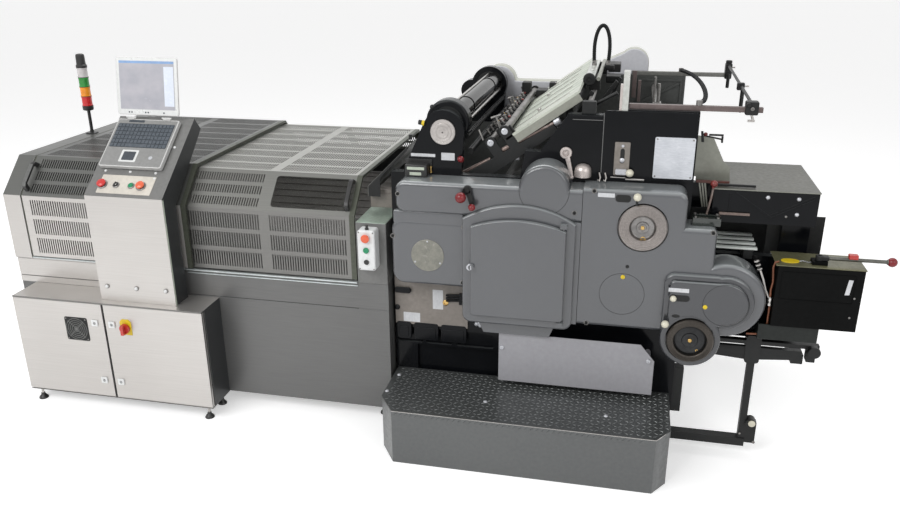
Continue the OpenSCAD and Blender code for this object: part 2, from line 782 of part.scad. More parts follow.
module kick_panel() {
    y = -frame_half - 90;
    color("gray") {
        front(y - 3, y) polygon([[-229, 305], [-229, 558], [423, 558], [488, 480], [488, 305]]);
        for (x = [-209, 460]) rod_y(x, y, -frame_half, 482, 12);
    }
}
// The tread plate of the step folds down over its edges
function step_line(m) = [[-750 - m, -frame_half - 2], [-750 - m, -step_front + 124 - m / 2],
    [-670 - m / 2, -step_front - m], [509 + m / 2, -step_front - m],
    [570 + m, -step_front + 90 - m / 2], [570 + m, -frame_half - 2]];
module step() {
    color("dimgray") {
        linear_extrude(step_h - step_fold) polygon(step_line(0));
        translate([0, 0, step_h - step_fold]) linear_extrude(step_fold) polygon(step_line(2));
    }
}
module impression_cylinder() {
    color("silver") {
        rod_y(-60, -inner_y + clear, inner_y - clear, 1080, 250);
        rod_y(-60, -inner_y, inner_y, 1080, 50);
    }
}

// ---- Delivery head ----

module delivery_head() {
    color("#2b2b2b") {
        both_sides() front(-frame_half, -inner_y - 10) {
            polygon([[-700, frame_top], [-671, frame_top + 72], [head[0] - 84, head[1] + 48],
                     [head[0] + 94, head[1]], [-429, frame_top]]);
            translate(head) circle(96);
        }
        puck(barrel, barrel_r, inner_y - 60, inner_y + 10, 14);
        mirror([0, 1, 0]) puck(barrel, barrel_r, inner_y - 60, inner_y + 10, 14);
        rod_y(-604, inner_y - 60, inner_y + 10, 1478, 60);
    }
}
module delivery_rollers() {
    reach = inner_y - 60;
    color("silver") {
        rod_y(head[0], -frame_half - 10, -frame_half, head[1], 57);
        rod_y(head[0], -frame_half - 16, -frame_half - 9, head[1], 40);
        rod_y(head[0] + 36, -reach, reach, head[1] + 58, 45);
        rod_y(head[0] - 52, -reach, reach, head[1] + 10, 24);
    }
}
module counter_box() {
    color("black") {
        block(-677, -574, -frame_half - 60, -frame_half, frame_top - 4, frame_top + 51);
        block(-688, -564, -frame_half - 4, -frame_half, frame_top - 4, frame_top + 66);
    }
}

// ---- Feed board and feeder ----

module feedboard() {
    l = norm(feed_high - feed_low);
    color("darkseagreen") translate([feed_low[0], -feed_half, feed_low[1]]) rotate([0, -feed_angle, 0])
        cube([l, 2 * feed_half, feed_t]);
    color("dimgray") for (p = [[-165, 1390, inner_y - 20], [35, 1510, inner_y]]) {
        top = feed_low[1] + (p[0] - 15 - feed_low[0]) * tan(feed_angle) + 4;
        both_sides() block(p[0] - 15, p[0] + 15, -feed_half, -feed_half + 20, p[1] - 10, top);
        rod_y(p[0], -p[2], p[2], p[1], 14);
    }
}
// Two bars across the low end of the feed board, on necks that stand on the side plates
module lay_bars() {
    color("rosybrown") for (p = [bar_a, bar_b]) rod_y(p[0], -inner_y, inner_y, p[1], 16);
    color("dimgray") both_sides() front(-inner_y, -inner_y + 20) {
        polygon([[-424, frame_top - 10], [-24, 1520], [0, 1490], [-300, frame_top - 10]]);
        for (p = [bar_a, bar_b]) translate(p) {
            circle(26);
            rotate(feed_angle) translate([-24, -95]) square([48, 95]);
        }
    }
}
// The cross bars of the suction head stand on arms over a shaft between the side frames
module feeder_head() {
    z = head_top - 27;
    color("silver") {
        rod_y(128, -inner_y - 10, inner_y + 10, z + 36, 13);
        for (y = [-frame_half + 5, inner_y + 10]) block(98, 158, y, y + 35, z, z + 56);
        for (y = [-262, 340]) block(104, 156, y, y + 14, z + 46, z + 98);
        block(86, 126, -290, 362, z + 94, z + 108);
        rod_y(148, -310, 362, z + 104, 9);
        block(164, 206, 115, 145, z + 86, z + 112);
        block(140, 170, 121, 139, z + 90, z + 106);
        block(254, 290, -frame_half, -frame_half + 40, z, 1765);
        rod_y(420, -inner_y, inner_y, 1516, 15);
        rod_z(410, 0, 1516, 1655, 6);
        rod_z(430, 0, 1516, 1623, 8);
    }
}
// Two flat rails on the side frames, reaching out over the feeder
module near_rail() block(rail_start, rail_end, -rail_y - 24, -rail_y, head_top, head_top + 22);
module far_rail() block(rail_start, rail_end - 8, rail_y, rail_y + 24, head_top_rear, head_top_rear + 22);
module feeder_rails() {
    color("gray") {
        near_rail();
        far_rail();
    }
}
// Clamps on the rails, with a rod between them that carries a third one
module rail_clamps() {
    a = [rail_end - 46, -rail_y + 8, head_top + 34];
    b = [rail_end - 28, rail_y - 8, head_top + 34];
    color("black") {
        difference() {
            union() {
                block(a[0] - 27, a[0] + 27, -rail_y - 38, -rail_y + 10, head_top - 10, head_top + 48);
                block(b[0] - 19, b[0] + 19, rail_y - 12, rail_y + 36, head_top_rear - 10, head_top + 48);
                rod_z(b[0], rail_y + 12, head_top + 47, head_top + 62, 17);
                rod_z(b[0], rail_y - 22, head_top_rear - 56, head_top_rear + 40, 9);
                block(b[0] - 9, b[0] + 9, rail_y - 23, rail_y - 11, head_top_rear + 20, head_top_rear + 40);
            }
            near_rail();
            far_rail();
        }
        translate(a) rotate([-90, 0, -atan2(b[0] - a[0], b[1] - a[1])]) cylinder(h = norm(b - a), r = 7);
        translate([a[0] + 4, -130, head_top + 34]) {
            cube([34, 26, 34], center = true);
            translate([10, 0, -110]) cylinder(h = 100, r = 9);
        }
    }
}
// Pressed rear cover, with a dome over the delivery head and a hump over the suction head
module rear_cover() {
    color("gray") front(frame_half, frame_half + 100) {
        rounded(-684, 384, 640, 1500, 60);
        translate([-461, 1512]) circle(97);
        translate([302, 1636]) circle(82);
        polygon([[384, 1440], [384, 1636], [302, 1700], [257, 1700], [133, 1642], [43, 1588], [-92, 1525],
                 [-400, 1525], [-400, 1440]]);
    }
}

module feeder_housing() {
    low = 560;
    color("#222222") {
        block(feeder_left, feeder_right, -feeder_y, -147, feeder_low, feeder_top - 4);
        front(-feeder_y - 3, -feeder_y) {
            rib([763, feeder_top - 14], [917, feeder_low + 31], 7);
            rib([743, feeder_low + 40], [743, feeder_top - 19], 7);
            for (d = [0, 13]) rib([915, feeder_low + 42 - d], [1081, feeder_top - 18 - d], 5);
        }
        block(bed_right, feeder_right, -wall_y - 40, -wall_y, low, 960);
        block(985, feeder_right, -wall_y - 40, -wall_y, 959, feeder_low + 1);
        block(bed_right, feeder_left + 1, -wall_y - 40, -wall_y, feeder_low + 35, feeder_top - 4);
        block(bed_right, feeder_right, wall_y, wall_y + 40, low, 960);
        block(feeder_right - 60, feeder_right, -wall_y - 1, wall_y + 1, 600, 660);
    }
}
// Top sheet with its upright guide, the pump box's lid, and the lever bracket on the gear cover
module feeder_plates() {
    color("darkolivegreen") {
        block(feeder_left - 4, feeder_right + 4, -feeder_y - 6, -143, feeder_top - 4, feeder_top);
        front(-503, -497) polygon([[604, feeder_top - 3], [749, feeder_top - 3], [742, feeder_top + 63],
            [714, feeder_top + 87], [662, feeder_top + 190], [604, feeder_top + 195]]);
        block(pump_left - 11, pump_left + pump_l + 4, -pump_y - 4, -frame_half + 30, pump_top, pump_top + 4);
        difference() {
            block(592, 708, -frame_half - 84, -frame_half - 12, 1138, 1172);
            block(612, 688, -frame_half - 66, -frame_half - 30, 1160, 1173);
        }
    }
}
module feeder_slats() {
    color("honeydew") for (i = [0 : 3])
        block(600, 888, -feeder_y + 40 + i * 64, -feeder_y + 78 + i * 64, 1000, 1010);
    color("black") for (x = [620, 830]) block(x, x + 40, -feeder_y + 38, -feeder_y + 290, 960, 1000);
}
module pump_box() {
    color("#222222") {
        block(pump_left, pump_left + pump_l, -pump_y, -pump_y + 120, pump_bottom, pump_top);
        block(pump_left, feeder_right, -pump_y + 119, -wall_y - 40, 760, 960);
        front(-pump_y - 2, -pump_y) difference() {
            rounded(pump_left + 18, pump_left + pump_l - 30, pump_top - 150, pump_top - 24, 8);
            rounded(pump_left + 21, pump_left + pump_l - 33, pump_top - 147, pump_top - 27, 5);
        }
    }
    color("black") {
        block(stop_pivot[0] - 30, stop_pivot[0] + 30, -stop_pivot[1] - 25, -stop_pivot[1] + 25,
              pump_top + 4, stop_z - 9.5);
        rod_z(stop_pivot[0], -stop_pivot[1], stop_z - 10, stop_z + 12, stop_r);
    }
}
module oil_pan() {
    front_side = -pump_y + 10;
    back = -frame_half + 30;
    color("dimgray") {
        difference() {
            block(905, 1150, front_side, back, 655, 727);
            block(910, 1145, front_side + 5, back - 5, 660, 728);
        }
        block(920, 1090, back - 1, -wall_y - 40, 655, 700);
    }
}
// Frame that carries the pile: two level rails, a clamped post and a beam near the ground
module pile_frame() {
    y = -frame_half;
    color("#222222") {
        block(bed_right, 1190, y - 30, y, 579, 597);
        front(y - 25, y) polygon([[bed_right, 524], [890, 500], [946, 504], [1120, 519], [1120, 562],
                                  [bed_right, 562]]);
        block(901, 932, y - 20, y + 15, 45, 640);
        front(y - 32, y + 18) rounded(882, 946, 486, 622, 14);
        rod_y(1166, y - 60, y - 30, 575, 26);
        block(1140, 1176, y - 40, y + 8, 520, 596);
        block(bed_right, 932, y - 25, y + 20, 45, 85);
        block(bed_right, 632, y + 20, y + 70, 170, 400);
        block(1080, 1130, y - 25, wall_y, 500, 545);
        block(1080, 1130, -wall_y - 40, -wall_y, 544, 560);
        block(918, 978, y - 20, y + 20, 64, 172);
        rod_y(950, y - 34, y + 10, 172, 24);
    }
}
// A looped hose over the suction head and one that crosses between the rails
module hoses() {
    z = head_top - 27;
    hose_r = 9;
    color("black") {
        translate([140, 130, 0]) {
            for (p = [[-34, z + 108], [34, z + 112]]) rod_z(p[0], 0, p[1], 1850, hose_r);
            translate([0, 0, 1850]) rotate([90, 0, 0])
                rotate_extrude(angle = 180) translate([34, 0]) circle(hose_r);
        }
        translate(hose_start) rotate([-hose_fall, 0, -hose_swing]) {
            rotate([-90, 0, 0]) cylinder(h = hose_l, r = hose_r);
            translate([-hose_bend, hose_l, 0])
                rotate_extrude(angle = 90) translate([hose_bend, 0]) circle(hose_r);
        }
        rod_z(hose_start[0], hose_start[1], head_top + 22, hose_start[2] + 8, 13);
        rod_z(hose_end[0], hose_end[1], head_top_rear + 22, hose_end[2] + 6, 13);
    }
}
module impression_lever() {
    color("red") {
        front(-cover_y - 22, -cover_y - 8) difference() {
            union() {
                translate(lever) circle(19);
                translate(lever) polygon([[-9, -7], [13, 0], [34, -72], [14, -78]]);
                translate(lever) polygon([[-15, 6], [3, -12], [-13, -34], [-31, -22]]);
            }
            translate(lever) circle(lever_r + pin_gap);
        }
        rod_y(lever[0] - 22, -cover_y - 50, -cover_y - 20, lever[1] - 25, 7);
        rod_y(lever[0] + 24, -cover_y - 36, -cover_y - 20, lever[1] - 72, 6);
        translate([lever[0] - 22, -cover_y - 58, lever[1] - 25]) sphere(24);
        translate([lever[0] + 24, -cover_y - 40, lever[1] - 72]) sphere(16);
    }
}
module stop_lever() {
    x = stop_pivot[0];
    y = -stop_pivot[1];
    color("gray") {
        difference() {
            union() {
                rod_z(x, y, stop_z - 9, stop_z + 9, 17);
                block(x, x + 35, y - 15, y + 15, stop_z - 9, stop_z + 9);
            }
            rod_z(x, y, stop_z - 12, stop_z + 13, stop_r + pin_gap);
        }
        rod_x(x + 34, x + 279, y, stop_z, 8);
        translate([x + 279, y, stop_z]) sphere(20);
    }
}

cabinet_body();
mounting_plate();
levelling_feet();
cabinet_door_left();
cabinet_door_right();
main_switch_knob();
extension_base();
guard_rails();
guard_left();
guard_left_grille();
guard_right();
guard_right_grille();
guard_window();
guard_left_handle();
guard_right_handle();
fixed_guard();
end_frame();
delivery_post();
button_box();
delivery_rails();
delivery_conveyor();
console_body();
console_front();
push_buttons();
laptop_base();
laptop_screen();
stack_light_stem();
stack_lamps();
press_base();
side_frame_front();
side_frame_rear();
upper_cover();
lower_cover();
door_casting();
access_door();
gear_cover();
raised_cover();
handwheel_upper();
handwheel_lower();
kick_panel();
step();
impression_cylinder();
delivery_head();
delivery_rollers();
counter_box();
feedboard();
lay_bars();
feeder_head();
feeder_rails();
rail_clamps();
rear_cover();
feeder_housing();
feeder_plates();
feeder_slats();
pump_box();
oil_pan();
pile_frame();
hoses();
impression_lever();
stop_lever();
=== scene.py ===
import math
import bmesh
import bpy
from mathutils import Matrix, Vector


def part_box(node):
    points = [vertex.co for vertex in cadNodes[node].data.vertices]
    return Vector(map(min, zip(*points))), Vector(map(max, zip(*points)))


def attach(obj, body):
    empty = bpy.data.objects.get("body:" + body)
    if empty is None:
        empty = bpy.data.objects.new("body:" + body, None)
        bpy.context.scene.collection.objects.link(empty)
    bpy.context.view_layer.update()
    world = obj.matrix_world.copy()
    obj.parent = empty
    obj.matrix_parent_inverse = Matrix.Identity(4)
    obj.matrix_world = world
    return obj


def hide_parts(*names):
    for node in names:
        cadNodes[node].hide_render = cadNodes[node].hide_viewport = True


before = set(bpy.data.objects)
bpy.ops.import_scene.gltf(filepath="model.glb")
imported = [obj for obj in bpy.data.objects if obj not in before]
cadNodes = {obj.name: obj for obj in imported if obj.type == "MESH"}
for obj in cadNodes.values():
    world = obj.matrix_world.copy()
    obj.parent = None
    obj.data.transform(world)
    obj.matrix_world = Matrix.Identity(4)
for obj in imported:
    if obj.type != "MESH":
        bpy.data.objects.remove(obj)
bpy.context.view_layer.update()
scene = bpy.context.scene
scene.view_settings.view_transform = "Standard"


def newNode(tree, kind, values=None, **settings):
    # one node, with its inputs given by name or number: a socket is linked, anything else is set
    node = tree.nodes.new(kind)
    for key, value in settings.items():
        setattr(node, key, value)
    for key, value in (values or {}).items():
        if isinstance(value, bpy.types.NodeSocket):
            tree.links.new(value, node.inputs[key])
        else:
            node.inputs[key].default_value = value
    return node


def output(tree, kind, values=None, **settings):
    return newNode(tree, kind, values, **settings).outputs[0]


def calc(tree, operation, *values, **settings):
    return output(tree, "ShaderNodeMath", dict(enumerate(values)), operation=operation, **settings)


# camera, lamps and floor

view = {"at": (0.30, -4.17, 2.25), "lens": 32.8, "turn": 12.47, "drop": 20.94, "tilt": -0.37, "reach": 200}


def addCamera():
    turn, drop, tilt = (math.radians(view[k]) for k in ("turn", "drop", "tilt"))
    ahead = Vector((-math.sin(turn) * math.cos(drop), math.cos(turn) * math.cos(drop), -math.sin(drop)))
    right = Vector((math.cos(turn), math.sin(turn), 0))
    up = right.cross(ahead)
    right, up = right * math.cos(tilt) + up * math.sin(tilt), up * math.cos(tilt) - right * math.sin(tilt)
    camera = bpy.data.objects.new("camera", bpy.data.cameras.new("camera"))
    camera.data.lens = view["lens"]
    camera.data.clip_end = view["reach"]
    camera.matrix_world = Matrix.Translation(view["at"]) @ Matrix((right, up, -ahead)).transposed().to_4x4()
    scene.collection.objects.link(camera)
    scene.camera = camera


studio = {
    "world": 0.5,  # light from the surroundings, which are plain white where they are seen
    "floor": 60, "floorLift": 0.42,  # half its width, and a glow that lifts it to white outside the shadows
    "lamps": [  # place, point it looks at, width and height in metres, power in watts
        ("keyLamp", (-3.6, -5.2, 5.0), (-1.0, -0.4, 0.8), (4.5, 3.0), 235),
        ("fillLamp", (3.8, -4.6, 3.6), (0.4, -0.3, 0.9), (3.0, 3.0), 62),
        ("topLamp", (-0.6, 1.6, 5.2), (-0.6, 0.0, 1.2), (6.0, 2.2), 105),
    ],
}


def seenBy(tree, *rays):
    # 1 where the surface is met by one of these kinds of ray
    path = tree.nodes.new("ShaderNodeLightPath").outputs
    first = calc(tree, "ADD", path[rays[0]], path[rays[1]], use_clamp=True)
    return calc(tree, "ADD", first, path[rays[2]], use_clamp=True)


def addStudio():
    world = bpy.data.worlds.new("studio")
    scene.world = world
    world.use_nodes = True
    tree = world.node_tree
    background = tree.nodes["Background"]
    seen = seenBy(tree, "Is Camera Ray", "Is Transmission Ray", "Is Glossy Ray")
    strength = output(tree, "ShaderNodeMapRange", {"Value": seen, "To Min": studio["world"], "To Max": 1.0})
    tree.links.new(strength, background.inputs["Strength"])
    background.inputs["Color"].default_value = (1, 1, 1, 1)
    for name, at, target, size, power in studio["lamps"]:
        lamp = bpy.data.lights.new(name, "AREA")
        lamp.shape = "RECTANGLE"
        lamp.size, lamp.size_y = size
        lamp.energy = power
        holder = bpy.data.objects.new(name, lamp)
        aim = (Vector(target) - Vector(at)).to_track_quat("-Z", "Y")
        holder.matrix_world = Matrix.Translation(at) @ aim.to_matrix().to_4x4()
        scene.collection.objects.link(holder)


def addFloor():
    mesh = bpy.data.meshes.new("floor")
    half = studio["floor"]
    mesh.from_pydata([(-half, -half, 0), (half, -half, 0), (half, half, 0), (-half, half, 0)], [], [(0, 1, 2, 3)])
    floor = bpy.data.objects.new("floor", mesh)
    scene.collection.objects.link(floor)
    material = bpy.data.materials.new("paleFloor")
    material.use_nodes = True
    tree = material.node_tree
    shader = tree.nodes["Principled BSDF"].inputs
    for key, value in (("Base Color", (0.93, 0.93, 0.93, 1)), ("Roughness", 0.8), ("Specular IOR Level", 0.1),
                       ("Emission Color", (1, 1, 1, 1))):
        shader[key].default_value = value
    seen = seenBy(tree, "Is Camera Ray", "Is Glossy Ray", "Is Transmission Ray")
    tree.links.new(calc(tree, "MULTIPLY", seen, studio["floorLift"]), shader["Emission Strength"])
    mesh.materials.append(material)


addCamera()
addStudio()
addFloor()
print("camera, lamps and floor")

# finishes


def finish(name, colour, shade, metallic, roughness, cloud, more=None):
    # two colours mixed by fine and broad noise, with the wear, relief, coat or glow that more asks for, and a
    # painted highlight that makes faces turned up paler
    look = {"spread": 0.08, "grain": (60, 60, 60), "bump": 0.0, "bumpScale": 300.0, "coat": 0.0, "glow": 0.0,
            "scuff": 0.0, "scuffColour": (0.5, 0.48, 0.45), "topHighlight": 0.0, "topHighlightColour": (0.30, 0.32, 0.325),
            "specular": 0.5, **(more or {})}
    material = bpy.data.materials.new(name)
    material.use_nodes = True
    tree = material.node_tree
    shader = tree.nodes["Principled BSDF"].inputs
    coordinates = newNode(tree, "ShaderNodeTexCoord").outputs
    place = coordinates["Object"]

    def noise(scale, detail, vector=place):
        return output(tree, "ShaderNodeTexNoise", {"Vector": vector, "Scale": scale, "Detail": detail})

    def ranged(value, low, high, toLow=0.0, toHigh=1.0):
        return output(tree, "ShaderNodeMapRange", {
            "Value": value, "From Min": low, "From Max": high, "To Min": toLow, "To Max": toHigh})

    def mixed(amount, below, above):
        return newNode(tree, "ShaderNodeMix", {0: amount, 6: below, 7: (*above, 1)}, data_type="RGBA").outputs[2]

    stretched = output(tree, "ShaderNodeMapping", {"Vector": place, "Scale": look["grain"]})
    blend = calc(tree, "ADD", noise(1.0, 4.0, stretched), noise(cloud, 3.0))
    tint = mixed(ranged(blend, 0.75, 1.25), (*colour, 1), shade)
    if look["scuff"]:
        tint = mixed(ranged(noise(38.0, 6.0), 0.6, 0.72, 0.0, look["scuff"]), tint, look["scuffColour"])
    if look["topHighlight"]:  # painted highlight: faces turned up are paler
        up = newNode(tree, "ShaderNodeSeparateXYZ", {0: coordinates["Normal"]}).outputs[2]
        tint = mixed(ranged(up, 0.3, 0.85, 0.0, look["topHighlight"]), tint, look["topHighlightColour"])
    tree.links.new(tint, shader["Base Color"])
    gloss = ranged(blend, 0.7, 1.3, roughness - look["spread"], roughness + look["spread"])
    tree.links.new(gloss, shader["Roughness"])
    shader["Metallic"].default_value = metallic
    shader["Specular IOR Level"].default_value = look["specular"]
    if look["coat"]:
        shader["Coat Weight"].default_value = look["coat"]
        shader["Coat Roughness"].default_value = 0.12
    if look["bump"]:
        relief = {"Height": noise(look["bumpScale"], 3.0), "Strength": look["bump"], "Distance": 0.002}
        tree.links.new(output(tree, "ShaderNodeBump", relief), shader["Normal"])
    if look["glow"]:
        tree.links.new(tint, shader["Emission Color"])
        shader["Emission Strength"].default_value = look["glow"]
    return material


def clearSheet(name, colour=(0.93, 0.95, 0.94), roughness=(0.05, 0.11)):
    material = bpy.data.materials.new(name)
    material.use_nodes = True
    tree = material.node_tree
    shader = tree.nodes["Principled BSDF"].inputs
    place = newNode(tree, "ShaderNodeTexCoord").outputs["Object"]
    haze = output(tree, "ShaderNodeTexNoise", {"Vector": place, "Scale": 7.0, "Detail": 4.0})
    gloss = output(tree, "ShaderNodeMapRange", {"Value": haze, "To Min": roughness[0], "To Max": roughness[1]})
    tree.links.new(gloss, shader["Roughness"])
    shader["Base Color"].default_value = (*colour, 1)
    shader["Transmission Weight"].default_value = 1.0
    shader["IOR"].default_value = 1.05
    return material


